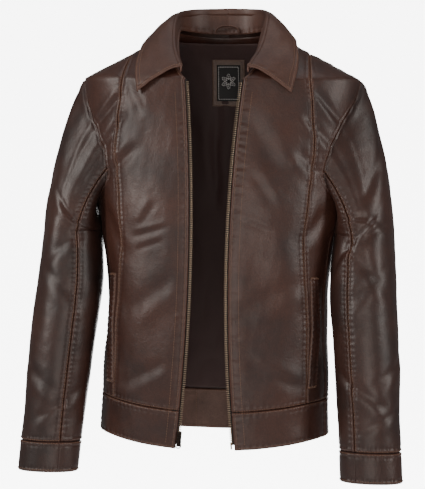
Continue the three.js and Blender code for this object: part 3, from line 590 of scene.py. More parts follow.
# %% Materials
def leather(name, dark, mid, light, rub="#80584a", roughness=0.43, rubbing=1.0):
    material, shader = new_material(name, {"IOR": 1.5, "Specular IOR Level": 0.75, "Coat Weight": 0.08,
                                           "Coat Roughness": 0.34, "Sheen Weight": 0.02, "Sheen Roughness": 0.5})
    tree = material.node_tree
    place = add(tree, "ShaderNodeTexCoord").outputs["Object"]
    # Broad cloudy patches, a few centimetres across, where the wax lies thicker or thinner.
    cloud = add(tree, "ShaderNodeTexNoise", {"Vector": place, "Scale": 11.0, "Detail": 5.0, "Roughness": 0.6})
    patch = add(tree, "ShaderNodeValToRGB", {"Fac": cloud.outputs["Fac"]})
    patch.color_ramp.elements[0].position, patch.color_ramp.elements[1].position = 0.34, 0.68
    patch.color_ramp.elements[0].color = linear(dark)
    patch.color_ramp.elements[1].color = linear(light)
    patch.color_ramp.elements.new(0.5).color = linear(mid)
    # Fine mottling of a millimetre or two, as the dye takes differently from pore to pore.
    fine = add(tree, "ShaderNodeTexNoise", {"Vector": place, "Scale": 420.0, "Detail": 3.0, "Roughness": 0.7})
    fine_gain = add(tree, "ShaderNodeMapRange", {"Value": fine.outputs["Fac"], "From Min": 0.3, "From Max": 0.7,
                                                 "To Min": 0.72, "To Max": 1.28})
    mottled = add(tree, "ShaderNodeVectorMath", {0: patch.outputs["Color"]}, operation="SCALE")
    tree.links.new(fine_gain.outputs["Result"], mottled.inputs["Scale"])
    # Rubbed edges: the wear value painted on the mesh, broken up by a streaky noise.
    wear = add(tree, "ShaderNodeAttribute", attribute_name="wear").outputs["Fac"]
    break_up = add(tree, "ShaderNodeTexNoise", {"Vector": place, "Scale": 130.0, "Detail": 5.0, "Roughness": 0.72})
    rubbed = add(tree, "ShaderNodeMath", {0: wear, 1: break_up.outputs["Fac"]}, operation="MULTIPLY")
    rubbed = add(tree, "ShaderNodeMapRange", {"Value": rubbed.outputs[0], "From Min": 0.16, "From Max": 0.55,
                                              "To Min": 0.0, "To Max": 0.6 * rubbing})
    worn = add(tree, "ShaderNodeMix", {"Factor": rubbed.outputs["Result"], "A": mottled.outputs[0],
                                       "B": linear(rub)[:3]}, data_type="VECTOR")
    tree.links.new(worn.outputs["Result"], shader.inputs["Base Color"])
    # The pebble grain: cells about 1.4 mm wide, with finer hair-cell pits between them.
    grain = add(tree, "ShaderNodeTexVoronoi", {"Vector": place, "Scale": 700.0}, feature="SMOOTH_F1")
    pores = add(tree, "ShaderNodeTexNoise", {"Vector": place, "Scale": 1500.0, "Detail": 2.0})
    slack = add(tree, "ShaderNodeTexNoise", {"Vector": place, "Scale": 85.0, "Detail": 4.0, "Roughness": 0.62,
                                             "Distortion": 0.6})
    pebble = add(tree, "ShaderNodeBump", {"Height": grain.outputs["Distance"], "Strength": 0.35,
                                          "Distance": 0.0004})
    pitted = add(tree, "ShaderNodeBump", {"Height": pores.outputs["Fac"], "Normal": pebble.outputs["Normal"],
                                          "Strength": 0.25, "Distance": 0.0002})
    loose = add(tree, "ShaderNodeBump", {"Height": slack.outputs["Fac"], "Normal": pitted.outputs["Normal"],
                                         "Strength": 0.26, "Distance": 0.0020})
    tree.links.new(loose.outputs["Normal"], shader.inputs["Normal"])
    # The wax shines unevenly, so the roughness follows the clouds.
    shine = add(tree, "ShaderNodeMapRange", {"Value": cloud.outputs["Fac"], "From Min": 0.3, "From Max": 0.7,
                                             "To Min": roughness + 0.05, "To Max": roughness - 0.05})
    tree.links.new(shine.outputs["Result"], shader.inputs["Roughness"])
    return material


def plain(name, colour, roughness, metal=0.0, bump=None, sheen=0.0):
    """A simple finish; bump is (texture scale, strength, depth in metres)."""
    material, shader = new_material(name, {"Base Color": linear(colour), "Roughness": roughness,
                                           "Metallic": metal, "Sheen Weight": sheen})
    tree = material.node_tree
    if bump:
        place = add(tree, "ShaderNodeTexCoord").outputs["Object"]
        noise = add(tree, "ShaderNodeTexNoise", {"Vector": place, "Scale": bump[0], "Detail": 4.0})
        relief = add(tree, "ShaderNodeBump", {"Height": noise.outputs["Fac"], "Strength": bump[1],
                                              "Distance": bump[2]})
        tree.links.new(relief.outputs["Normal"], shader.inputs["Normal"])
        tone = add(tree, "ShaderNodeMix", {"Factor": noise.outputs["Fac"], "A": linear(colour)[:3],
                                           "B": [0.55 * c for c in linear(colour)[:3]]}, data_type="VECTOR")
        tree.links.new(tone.outputs["Result"], shader.inputs["Base Color"])
    return material


# The body leather is the mid brown that the eye takes the jacket's colour from.
BODY_LEATHER = leather("waxed_cowhide", "#341b14", "#46271d", "#533126")
# The sleeves are cut from a slightly darker, cooler part of the hide.
SLEEVE_LEATHER = leather("waxed_cowhide_sleeve", "#2b1711", "#3b2119", "#482b22")
# The collar is handled most, so it is lighter and drier.
COLLAR_LEATHER = leather("rubbed_cowhide_collar", "#45281f", "#543327", "#623f32", roughness=0.52)
# Facings and the hem's inside face catch less light and keep their first colour.
FACING_LEATHER = leather("cowhide_facing", "#4f3226", "#694638", "#795546", roughness=0.56, rubbing=0.5)
# The frame of the label is a smooth greyer leather.
LABEL_LEATHER = leather("smooth_label_hide", "#7a665c", "#8c776c", "#9a857a", roughness=0.6, rubbing=0.4)
# Waxed thread, a shade lighter than the leather, so that the rows read as fine dotted lines.
THREAD = plain("waxed_tan_thread", "#8f6c56", 0.6)
# The lining is a smooth dark twill with a little sheen.
LINING = plain("dark_brown_twill", "#553b39", 0.62, bump=(900.0, 0.3, 0.0002), sheen=0.25)
POCKET_CLOTH = plain("black_pocket_cotton", "#1b1817", 0.8, bump=(1200.0, 0.3, 0.0002))
# The zip tape is a dark brown woven ribbon.
TAPE = plain("woven_zip_tape", "#291e1d", 0.75, bump=(1600.0, 0.5, 0.0003))
# The teeth are antique brass: brown patina with bright corners.
BRASS = plain("antique_brass", "#c2ab93", 0.36, metal=1.0, bump=(900.0, 0.25, 0.0002))
# The slider is a darker cast metal.
GUNMETAL = plain("dark_cast_zip_metal", "#3a302b", 0.4, metal=0.85, bump=(500.0, 0.2, 0.0002))
TAG_CLOTH = plain("black_woven_satin", "#1d1b1c", 0.5, bump=(1800.0, 0.4, 0.0002))
TAG_THREAD = plain("grey_embroidery", "#f2efed", 0.6)

# %% [markdown]
# ## The body panels
# Each panel is laid between two seam lines. The front of each side is one piece here, from the zip to the
# princess seam, across the imported model's fold line.

# %% Body panels
def zip_puckers(points):
    """The tape holds the edge shorter than the leather, so small folds run across it, up to the facing's seam."""
    away = np.abs(points[..., 0]) - zip_at(points[..., 2])[..., 0]
    z = points[..., 2] + 3 * np.sin(points[..., 2] / 31)
    folds = np.sin(z * 2 * math.pi / 13 + away / 9) + 0.7 * np.sin(z * 2 * math.pi / 21 + 1.3)
    strength = smooth((away - 5) / 4) * smooth((27 - away) / 9) * smooth((-100 - points[..., 2]) / 40)
    return np.where(points[..., 1] < 0, 0.33 * folds * strength * (0.6 + 0.4 * np.sin(points[..., 2] / 47)), 0)


def damp_near_zip(points):
    """The zip holds its edge straight, so the waves fade out close to it, and at the seams' ends."""
    front = points[..., 1] < 0
    away = np.abs(points[..., 0]) - zip_at(points[..., 2])[..., 0]
    level = smooth((points[..., 2] + 700) / 50) * smooth((-points[..., 2] - 30) / 50)
    return np.where(front, 0.25 + 0.75 * smooth((away - 4) / 40), 1) * (0.35 + 0.65 * level)


def finish_edges(points, edges, roll=1.1, gather=0.5, rub=1.0):
    """Turns the named edges down and in, puts a valley at the stitch line, and returns the wear."""
    distance = edge_distances(points)
    out = normals_of(points)
    shift = np.zeros(points.shape[:2])
    wear = np.zeros(points.shape[:2])
    for edge in edges:
        d = distance[edge]
        run = points[..., 2] if edge in ("start", "stop") else points[..., 0]
        pucker = gather * np.sin(run * 2 * math.pi / 8.7 + 3 * np.sin(run / 23)) * np.exp(-(d - 4) ** 2 / 30)
        shift += -1.5 * roll * np.exp(-(d / 1.5) ** 2) - 0.5 * np.exp(-((d - 6.5) / 2.0) ** 2)
        shift += 0.6 * np.exp(-((d - 3.0) / 1.5) ** 2) + pucker
        wear = np.maximum(wear, rub * (0.95 * np.exp(-(d / 1.6) ** 2) + 0.42 * np.exp(-((d - 4) / 5) ** 2)))
    return points + out * shift[..., None], wear


def mirror(points):
    """The other side of the jacket, with the columns turned round so that it still faces outwards."""
    return (points * np.array([-1, 1, 1]))[:, ::-1]


# A strip along the imported model's fold line, across each front: the line's middle, the way across it and the
# strip's half width, in metres.
FOLD_MIDDLE, FOLD_ACROSS, FOLD_REACH = (0.0985, -0.1095, -0.389), (0.991, 0, 0.133), 0.022
FOLD = {}
for side, sign in SIDES:
    middle = Vector((FOLD_MIDDLE[0] * sign, *FOLD_MIDDLE[1:]))
    away = Vector((FOLD_ACROSS[0] * sign, *FOLD_ACROSS[1:])) * FOLD_REACH
    FOLD[side] = ("torso", f"{side}_front", middle + away, middle - away)


def raised(angle, level, sign=1, depth=0.0, relief=1.0):
    """The creased surface of one side of the body, still on +X; sign -1 takes the wearer's right's creases."""
    e = 1e-3
    up = body_point(angle, level + 0.5) - body_point(angle, level - 0.5)
    out = np.cross(body_point(angle + e, level) - body_point(angle - e, level), up)
    out /= np.linalg.norm(out, axis=-1, keepdims=True)
    base = body_point(angle, level)
    stand = relief * body_relief(base * np.array([sign, 1, 1])) * damp_near_zip(base) - depth
    stand = stand + relief * zip_puckers(base)
    return base + out * np.asarray(stand)[..., None]


def relieved(angle, level, sign=1, depth=0.0, relief=1.0):
    """The same surface in its real place; sign -1 gives the wearer's right side."""
    points = raised(angle, level, sign, depth, relief)
    return points if sign > 0 else mirror(points)


# %% Front panels, side panels and the back
def between(inner, outer, levels, columns):
    level = np.asarray(levels, float)[:, None] * np.ones((1, columns))
    share = np.linspace(0, 1, columns)[None, :]
    return inner(level) * (1 - share) + outer(level) * share, level


def upright_edges(sign):
    """The names of a panel's two upright edges: the one nearer the zip, then the other."""
    return ("start", "stop") if sign > 0 else ("stop", "start")


def front_outer(level):
    """The front's outer edge: the princess seam, then the shoulder ridge."""
    ridge = front_angle(lambda z: np.minimum(princess_x(z), ridge_x(z) - 0.4), level)
    return np.where(level > PRINCESS_TOP_Z, ridge, princess(level))


def back_edge(z):
    reach = np.minimum(back_seam_x(z), half_width(z) * 0.9995 - 0.2)
    return np.arccos(np.clip(reach / half_width(z), 0, 1) ** (ROUNDNESS / 2))


PANEL_BOTTOM_Z = BAND_TOP_Z + BAND_GAP
for side, sign in SIDES:
    inner_edge, outer_edge = upright_edges(sign)
    below, above = np.linspace(PANEL_BOTTOM_Z, NECK_END_Z - 1, 190), np.linspace(NECK_END_Z + 1, -5, 32)
    levels = np.concatenate([below, above])
    angle, level = between(panel_inner, front_outer, levels, 56)
    points, wear = finish_edges(relieved(angle, level, sign), [inner_edge, outer_edge, "bottom"])
    lay(f"{side}_front_leather", points, LEATHER, BODY_LEATHER, FOLD[side],
        [f"{side}_front_panel", f"{side}_front_side_panel"], wear)
    seam(f"{side}_front_stitches", points, [(inner_edge, BY_ZIP), (outer_edge, BY_BAND), ("bottom", BY_BAND)],
         FOLD[side])

    levels = np.linspace(PANEL_BOTTOM_Z, PRINCESS_TOP_Z - RIDGE_GAP, 200)
    angle, level = between(princess, outer_angle, levels, 34)
    points, wear = finish_edges(relieved(angle, level, sign), [inner_edge, outer_edge, "bottom"])
    lay(f"{side}_side_leather", points, LEATHER, BODY_LEATHER, "torso", [f"{side}_side_panel"], wear)
    seam(f"{side}_side_stitches", points, [(inner_edge, BY_SEAM), ("bottom", BY_BAND)], "torso")

    levels = np.linspace(PANEL_BOTTOM_Z, PRINCESS_TOP_Z - RIDGE_GAP, 170)
    angle, level = between(outer_back, back_seam, levels, 30)
    points, wear = finish_edges(relieved(angle, level, sign), ["start", "stop", "bottom"])
    lay(f"{side}_side_back_leather", points, LEATHER, BODY_LEATHER, "torso", [f"{side}_side_back_panel"],
        wear)
    seam(f"{side}_side_back_stitches", points, [(outer_edge, BY_SEAM), ("bottom", BY_BAND)], "torso")

angle, level = between(back_edge, mirrored(back_edge), np.linspace(PANEL_BOTTOM_Z, -2, 190), 72)
points, wear = finish_edges(relieved(angle, level), ["start", "stop", "bottom"])
lay("back_leather", points, LEATHER, BODY_LEATHER, "torso", ["back_panel"], wear)
seam("back_stitches", points, [(edge, BY_SEAM) for edge in ("start", "stop", "bottom")], "torso")

# %% [markdown]
# ## The hem band
# A doubled band finishes the hem. Its front runs in one piece from the zip to the side seam, and the back
# runs from side seam to side seam, with the facing inside it that shows through the open front.

# %% Hem band and hem facing
HEM_LEVELS = np.linspace(HEM_Z, BAND_TOP_Z - BAND_GAP, 30)


def rolled(points, edge, amount=1.3):
    """The band's lower edge rolls under, as folded leather does."""
    d = edge_distances(points)[edge]
    return points + normals_of(points) * (-amount * np.exp(-(d / 2.0) ** 2))[..., None]


for side, sign in SIDES:
    inner_edge, outer_edge = upright_edges(sign)
    angle, level = between(zip_side(LEATHER_EDGE), outer_angle, HEM_LEVELS, 90)
    points, wear = finish_edges(relieved(angle, level, sign), ["top", "bottom", inner_edge, outer_edge])
    lay(f"{side}_hem_leather", rolled(points, "bottom"), DOUBLED_LEATHER, BODY_LEATHER, FOLD[side],
        [f"{side}_front_hem_band", f"{side}_side_hem_band"], wear)
    seam(f"{side}_hem_stitches", points, [("top", BY_SEAM), ("bottom", BY_FOLD), (inner_edge, BY_ZIP)], FOLD[side])

angle, level = between(outer_angle, mirrored(outer_angle), HEM_LEVELS, 150)
points, wear = finish_edges(relieved(angle, level), ["top", "bottom", "start", "stop"])
lay("back_hem_leather", rolled(points, "bottom"), DOUBLED_LEATHER, BODY_LEATHER, "torso", ["back_hem_band"],
    wear)
seam("back_hem_stitches", points, [("top", BY_SEAM), ("bottom", BY_FOLD)], "torso")


def inside_out(points):
    """Columns turned round, so that the sheet faces into the jacket."""
    return points[:, ::-1]


angle, level = between(outer_angle, mirrored(outer_angle), np.linspace(HEM_Z + 1, -612, 30), 110)
points = inside_out(relieved(angle, level, 1, LINING_DEPTH + LEATHER))
points, wear = finish_edges(points, ["top", "bottom"])
lay("hem_facing_leather", points, LEATHER, FACING_LEATHER, "torso", ["hem_facing"], wear)
# One upright row marks where the facing's two lengths are joined.
joint_column = int(points.shape[1] * 0.44)
joint = (points[2:-2, joint_column], normals_of(points)[2:-2, joint_column])
stitch_rows("hem_facing_joint_stitches", [joint], THREAD, "torso")
seam("hem_facing_stitches", points, [("top", 4), ("bottom", BY_FOLD)], "torso")
print("hem done")

# %% [markdown]
# ## The lining and the facings
# Inside the leather hangs a dark lining with its own looser folds, and a leather facing backs each front
# edge. The seam between them shows on the outside as the second row of stitches beside the zip.

# %% Linings and facings
# The facing runs between two distances from the zip line, its stitches come through at a third, and the lining
# starts where it ends.
FACING_START, FACING_END, FACING_STITCH, LINING_START = 6, 32, 22, 33
FACING_DEPTH = 4.6


def lining_relief(points, seed):
    hang = smooth((-60 - points[..., 2]) / 120)
    return 4.2 * hang * waves(points, 92, seed, (1, 1, 5)) + 2.2 * waves(points, 36, seed + 1, (1.2, 1, 2.2))


def lining_points(inner, outer, levels, columns, sign, seed, depth=LINING_DEPTH):
    angle, level = between(inner, outer, levels, columns)
    points = inside_out(relieved(angle, level, sign, depth))
    loose = np.abs(lining_relief(points, seed)) + 0.4
    share = np.linspace(0, 1, points.shape[1])
    edge = smooth(np.minimum(share, 1 - share) / 0.12)[None, :]
    return points + normals_of(points) * (loose * edge)[..., None]


def lining_edge(level):
    """Where the front lining meets the facing."""
    return front_angle(lambda z: zip_at(np.minimum(z, NECK_END_Z))[..., 0] + LINING_START, level)


points = lining_points(outer_back, mirrored(outer_back), np.linspace(-610, -10, 190), 110, 1, 31)
lay("back_lining_cloth", points, LINING_CLOTH, LINING, "torso", ["back_lining"])

for side, sign in SIDES:
    points = lining_points(lining_edge, outer_angle, np.linspace(-671, -100, 180), 60, sign, 41 + sign)
    lay(f"{side}_lining_cloth", points, LINING_CLOTH, LINING, FOLD[side],
        [f"{side}_front_lining", f"{side}_side_lining"])

    angle, level = between(zip_side(FACING_START), zip_side(FACING_END), np.linspace(-682, -96, 220), 12)
    points = inside_out(relieved(angle, level, sign, FACING_DEPTH))
    points, wear = finish_edges(points, ["start", "stop"])
    lay(f"{side}_facing_leather", points, LEATHER, FACING_LEATHER, f"{side}_front", [f"{side}_front_facing"],
        wear)

    # The facing's stitches come through to the outside, about 20 mm from the zip's edge.
    angle, level = between(zip_side(FACING_STITCH), zip_side(FACING_STITCH + 3), np.linspace(-676, -112, 240), 4)
    points = relieved(angle, level, sign)
    row = line_on(points, upright_edges(sign)[0], 0.4)
    stitch_rows(f"{side}_facing_stitches", [(row[0] - row[1] * 0.1, row[1])], THREAD, f"{side}_front")
print("linings done")

# %% [markdown]
# ## The sleeves
# A sleeve of three panels, top, back and under, hangs from the armhole, forwards and slightly bent, as an arm
# would. Its head is eased into the armhole, the inside of the elbow creases, and the forearm stacks a little.

# %% The sleeve surface
sleeve_x = profile([(ELBOW_Z, 252), (-400, 250), (-445, 250), (-500, 253.5), (-560, 258), (-650, 263.5),
                    (-745, 269)])
sleeve_half_width = profile([(ELBOW_Z, 46), (-400, 52), (-445, 55), (-500, 55.5), (-560, 55), (-650, 51.5),
                             (-745, 51)])
sleeve_y = profile([(ELBOW_Z, -14), (-500, -45), (-745, -80)])
sleeve_half_depth = profile([(ELBOW_Z, 66), (-500, 60), (-700, 42), (-745, 38)])
FRONT_SLEEVE_SEAM = math.radians(118)
ELBOW_SLEEVE_SEAM = math.radians(-38)
BACK_SLEEVE_SEAM = math.radians(-112)
SLEEVE_LINING_DEPTH = 5.5
# How far the sleeve's top edge lies under the body's leather, and how far in from the armhole's edge.
TUCK_UNDER, TUCK_IN = 1.5, 1.4

# Each crease: side, turn and length where it is deepest, its slope, width, depth and reach round the sleeve.
SLEEVE_CREASES = [
    (1, 78, 0.98, 0.10, 0.036, 1.7, 52), (1, 96, 1.12, -0.16, 0.038, 1.6, 46),
    (1, 84, 1.24, 0.14, 0.036, 1.2, 44), (1, 108, 1.00, 0.22, 0.028, 2.2, 44),
    (1, 96, 0.82, -0.12, 0.034, 2.0, 46), (1, 40, 1.62, 0.12, 0.03, 1.4, 42),
    (1, 100, 1.72, -0.10, 0.028, 2.0, 50), (1, 70, 1.86, 0.08, 0.024, 1.6, 48),
    (1, 45, 0.55, 0.20, 0.06, 1.8, 44), (-1, 100, 1.05, -0.10, 0.034, 2.0, 46),
    (-1, 104, 0.84, 0.16, 0.034, 2.2, 42), (-1, 50, 0.60, -0.20, 0.06, 1.4, 44),
    (-1, 92, 1.26, 0.12, 0.034, 1.5, 50), (-1, 98, 1.84, -0.10, 0.026, 1.8, 50),
    (-1, 66, 1.70, 0.10, 0.03, 1.4, 46),
]


def straight(turn, z):
    return np.stack([sleeve_x(z) + sleeve_half_width(z) * np.cos(turn),
                     sleeve_y(z) - sleeve_half_depth(z) * np.sin(turn), z * np.ones_like(turn)], -1)


def armhole_edge(turn, sign):
    """The armhole's edge on the creased body surface, just under the leather that the sleeve is sewn to."""
    z = SHOULDER_Z + (ARMPIT_Z - SHOULDER_Z) * (1 - np.cos(turn)) / 2
    z = np.clip(z, ARMPIT_Z + 0.001, SHOULDER_Z)
    angle = np.where(np.sin(turn) < 0, outer_angle(z, True), outer_angle(z))
    return raised(angle, z, sign, depth=TUCK_UNDER) - np.array([TUCK_IN, 0, 0])


def sleeve_relief(turn, length, points, sign):
    flat = points * np.array([sign, 1, 1])
    fade = smooth(length / 0.25) * smooth((2.02 - length) / 0.2)
    relief = 2.2 * waves(flat, 90, 51, (1, 1, 5)) + 0.8 * waves(flat, 46, 52, (1, 1, 2.6))
    relief += 0.22 * waves(flat, 19, 53, (1, 1, 1.5))
    degrees = np.degrees(turn)
    for side, at, where, slope, width, depth, reach in SLEEVE_CREASES:
        if side != sign:
            continue
        off = length - where - slope * (degrees - at) / 60
        valley = -np.exp(-(off / width) ** 2) + 0.75 * np.exp(-((off - 1.9 * width) / (1.3 * width)) ** 2)
        relief += depth * valley * np.exp(-((degrees - at) / reach) ** 4)
    # The sleeve head stands a little proud of the armhole seam.
    head = 3.2 * np.exp(-((length - 0.07) / 0.06) ** 2) * smooth(np.cos(turn) * 1.4)
    # Below the armpit the sleeve lies almost against the body.
    near_body = 8.0 * np.exp(-((length - 0.88) / 0.37) ** 2) * smooth(-np.cos(turn) * 1.3)
    return relief * fade + head + near_body


def sleeve_base(turn, length, sign):
    z = ELBOW_Z + np.maximum(length - 1, 0) * (CUFF_TOP_Z - ELBOW_Z)
    low = straight(turn, z)
    start = armhole_edge(turn, sign)
    end = straight(turn, np.full_like(turn, float(ELBOW_Z)))
    reach = np.linalg.norm(end - start, axis=-1, keepdims=True)
    top = ((1 + np.cos(turn)) / 2)[..., None]
    leave = np.concatenate([20 + 90 * top, 0 * top, -30 - 90 * top], -1)
    arrive = np.array([0.04, -0.1, -1]) * reach
    t = np.clip(length, 0, 1)[..., None]
    h = t * t * (3 - 2 * t)
    high = start * (1 - h) + end * h + leave * t * (1 - t) ** 2 + arrive * t * t * (t - 1)
    return np.where((length >= 1)[..., None], low, high)


def sleeve_grid(first, last, rows, columns, sign, depth=0.0):
    """Rows from the cuff up to the armhole, columns from turn `first` to turn `last`, in radians."""
    length = np.asarray(rows, float)[:, None] * np.ones((1, columns))
    turn = np.linspace(first, last, columns)[None, :] * np.ones_like(length)
    e = 2e-3
    base = sleeve_base(turn, length, sign)
    round_ = sleeve_base(turn + e, length, sign) - sleeve_base(turn - e, length, sign)
    low = np.maximum(length, 0.01)
    down = sleeve_base(turn, low + e, sign) - sleeve_base(turn, low - e, sign)
    out = np.cross(round_, down)
    out /= np.maximum(np.linalg.norm(out, axis=-1, keepdims=True), 1e-9)
    stand = sleeve_relief(turn, length, base, sign) - depth
    points = base + out * stand[..., None]
    return points if sign > 0 else mirror(points)


# %% Sleeves and cuffs
SLEEVE_ROWS = np.concatenate([np.linspace(1.998, 1, 170), np.linspace(0.994, 0, 130)])
# A strip below the shoulder on each sleeve: the way down the sleeve, and the strip's two ends in metres.
SLEEVE_WAY, BEND_START, BEND_END = (0.92, 0, -0.392), 0.300, 0.388
SEAM_TURN = 0.006
SHOULDER = {}
for side, sign in SIDES:
    way = np.array([SLEEVE_WAY[0] * sign, *SLEEVE_WAY[1:]])
    SHOULDER[side] = ("torso", f"{side}_sleeve", Vector(way * BEND_START), Vector(way * BEND_END))
    parts = [("top", FRONT_SLEEVE_SEAM - SEAM_TURN, ELBOW_SLEEVE_SEAM + SEAM_TURN, 90),
             ("back", ELBOW_SLEEVE_SEAM - SEAM_TURN, BACK_SLEEVE_SEAM + SEAM_TURN, 44),
             ("under", BACK_SLEEVE_SEAM + 2 * math.pi - SEAM_TURN, FRONT_SLEEVE_SEAM + SEAM_TURN, 66)]
    for name, first, last, columns in parts:
        points = sleeve_grid(first, last, SLEEVE_ROWS, columns, sign)
        points, wear = finish_edges(points, ["start", "stop", "bottom"])
        headed, head_wear = finish_edges(points, ["top"], roll=0.6)
        lay(f"{side}_{name}_sleeve_leather", headed, LEATHER, SLEEVE_LEATHER, SHOULDER[side],
            [f"{side}_{name}_sleeve"], np.maximum(wear, head_wear))
        if name == "top":
            seam(f"{side}_sleeve_stitches", points, [(upright_edges(sign)[0], BY_SEAM), ("bottom", BY_BAND)],
                 SHOULDER[side])

    points = sleeve_grid(2 * math.pi, 0, np.linspace(2.12, 0.05, 150), 70, sign,
                         depth=SLEEVE_LINING_DEPTH)
    lay(f"{side}_sleeve_lining_cloth", inside_out(points), LINING_CLOTH, LINING, SHOULDER[side],
        [f"{side}_sleeve_lining"], offset=1.0)

    cuff_top, cuff_end = 2 + 0.6 / FOREARM, 2 + CUFF_HEIGHT / FOREARM
    points = sleeve_grid(FRONT_SLEEVE_SEAM + 2 * math.pi, FRONT_SLEEVE_SEAM, np.linspace(cuff_end, cuff_top, 30),
                         180, sign)
    points, wear = finish_edges(points, ["top", "bottom"], roll=1.3)
    lay(f"{side}_cuff_leather", points, DOUBLED_LEATHER, SLEEVE_LEATHER, f"{side}_sleeve", [f"{side}_cuff"],
        wear)
    seam(f"{side}_cuff_stitches", points, [("top", BY_BAND), ("bottom", BY_FOLD)], f"{side}_sleeve")
print("sleeves done")

# %% [markdown]
# ## The collar
# A shirt collar in one leather: a short stand rises from the neck seam, folds over, and falls to a pointed
# leaf with a row of stitches close to its edge and a second one further in. Its halves meet behind the neck.

# %% The collar
def catmull(points):
    """A centripetal Catmull-Rom curve through the points, taking a share from 0 to 1."""
    p = [np.array(q, float) for q in points]

    def at(share):
        place = min(max(share, 0), 1) * (len(p) - 1)
        k = min(int(place), len(p) - 2)
        t = place - k
        before = p[k - 1] if k > 0 else 2 * p[0] - p[1]
        after = p[k + 2] if k + 2 < len(p) else 2 * p[-1] - p[-2]
        a, b = p[k], p[k + 1]
        d = [max(np.linalg.norm(v - u), 1e-6) ** 0.5 for u, v in ((before, a), (a, b), (b, after))]
        ta = ((a - before) / d[0] - (b - before) / (d[0] + d[1]) + (b - a) / d[1]) * d[1]
        tb = ((b - a) / d[1] - (after - a) / (d[1] + d[2]) + (after - b) / d[2]) * d[1]
        return ((2 * t ** 3 - 3 * t * t + 1) * a + (t ** 3 - 2 * t * t + t) * ta + (3 * t * t - 2 * t ** 3) * b
                + (t ** 3 - t * t) * tb)
    return at


neck_seam = catmull([(51, -91, -77), (64, -60, -47), (70, -20, -6), (62, 42, 3), (34, 69, 3), (0, 77, 3)])
fold_line = catmull([(54, -94, -76), (72, -58, -34), (77, -8, 20), (66, 46, 38), (36, 72, 44), (0, 80, 46)])
leaf_edge = catmull([(127, -100, -119), (136, -66, -62), (126, -12, -18), (100, 66, -12), (52, 98, -18),
                     (0, 106, -22)])


def around_collar(curve, share):
    point = curve(2 - share if share > 1 else share)
    return point * np.array([-1, 1, 1]) if share > 1 else point


def leaf_point(share, reach):
    start, end = around_collar(fold_line, share), around_collar(leaf_edge, share)
    away = (end - start) * np.array([1, 1, 0])
    away /= np.linalg.norm(away)
    start = start + away * 2.9
    knee = start + away * 10 + np.array([0, 0, 5])
    return start * (1 - reach) ** 2 + 2 * knee * reach * (1 - reach) + end * reach ** 2


def collar_relief(points, seed):
    return 1.5 * waves(points, 62, seed) + 0.6 * waves(points, 26, seed + 1)


def leaf_grid(first, last, columns, rows):
    """Rows from the leaf's edge up to the fold, then over the roll and a little way down inside the stand."""
    share = np.linspace(first, last, columns)
    reach = np.linspace(1, 0, rows)
    leaf = np.array([[leaf_point(s, r) for s in share] for r in reach])
    loose = (1 - np.abs(reach - 0.55) / 0.55)[:, None]
    leaf = leaf + normals_of(leaf) * (collar_relief(leaf, 61) * (0.35 + 0.65 * loose))[..., None]
    fold = np.array([around_collar(fold_line, s) for s in share])
    away = leaf[-1] - fold
    away[:, 2] = 0
    away /= np.linalg.norm(away, axis=1, keepdims=True)
    roll = []
    for turn in np.linspace(0, math.pi, 9)[1:]:
        roll.append(fold + away * (0.6 + 2.3 * math.cos(turn)) + np.array([0, 0, 2.3 * math.sin(turn)]))
    for drop in (2, 5, 9):
        roll.append(fold - away * (1.75 - 0.05 * drop) - np.array([0, 0, drop]))
    shift = leaf[-1] - (fold + away * 2.9)
    fade = np.concatenate([np.linspace(0.9, 0.1, 8), np.zeros(3)])[:, None, None]
    return np.concatenate([leaf, np.array(roll) + shift[None] * fade])


LEAF_LEATHER = 2.2
COLLAR = {}
for side, sign in SIDES:
    first, last = (0.02, 1.0) if sign > 0 else (1.0, 1.98)
    points = leaf_grid(first, last, 150, 54)
    near, far = (Vector(leaf_point(place, 0.5) * np.array([sign, 1, 1]) * MM) for place in (0.66, 0.46))
    COLLAR[side] = ("torso", f"{side}_collar", near, far)
    end_edge = upright_edges(sign)[0]
    points, wear = finish_edges(points, ["bottom", end_edge], roll=1.2)
    wear = np.maximum(wear, 0.35 * np.exp(-(edge_distances(points)["top"] / 6) ** 2))
    lay(f"{side}_collar_leather", points, LEAF_LEATHER, COLLAR_LEATHER, COLLAR[side],
        [f"{side}_collar_leaf", "collar_back_leaf"], wear, offset=0.0)
    seam(f"{side}_collar_stitches", points + normals_of(points) * (LEAF_LEATHER / 2),
         [("bottom", BY_FOLD), (end_edge, BY_FOLD), ("bottom", 11)], COLLAR[side])

share = np.linspace(1.955, 0.045, 190)
height = np.linspace(0, 1.0, 26)
stand = np.array([[around_collar(neck_seam, s) * (1 - h) + around_collar(fold_line, s) * h for s in share]
                  for h in height])
stand = stand + normals_of(stand) * (0.8 * waves(stand, 50, 66))[..., None]
stand, wear = finish_edges(stand, ["bottom"], roll=0.5)
lay("collar_stand_leather", stand, DOUBLED_LEATHER, COLLAR_LEATHER, "torso", ["collar_stand"], wear,
    offset=0.0)
print("collar done")

# %% [markdown]
# ## Pockets
# A single welt stands on each side panel just outside the princess seam: a folded strip of the same leather,
# edge-stitched, with a bar of stitches at each end, and a cotton bag behind it.

# %% Pocket welts and bags
POCKET_X, POCKET_TOP_Z, POCKET_BOTTOM_Z = 161, -414, -596
WELT_WIDTH, WELT_STAND, WELT_LEATHER = 13, 2.9, 1.9
BAG_INNER_X, BAG_OUTER_X, BAG_DEPTH = 131, 170, 4.4


def pocket_line(x, bow=2.5):
    return lambda level: front_angle(lambda z: x + bow * np.sin(np.clip((-415 - z) / 180, 0, 1) * math.pi), level)


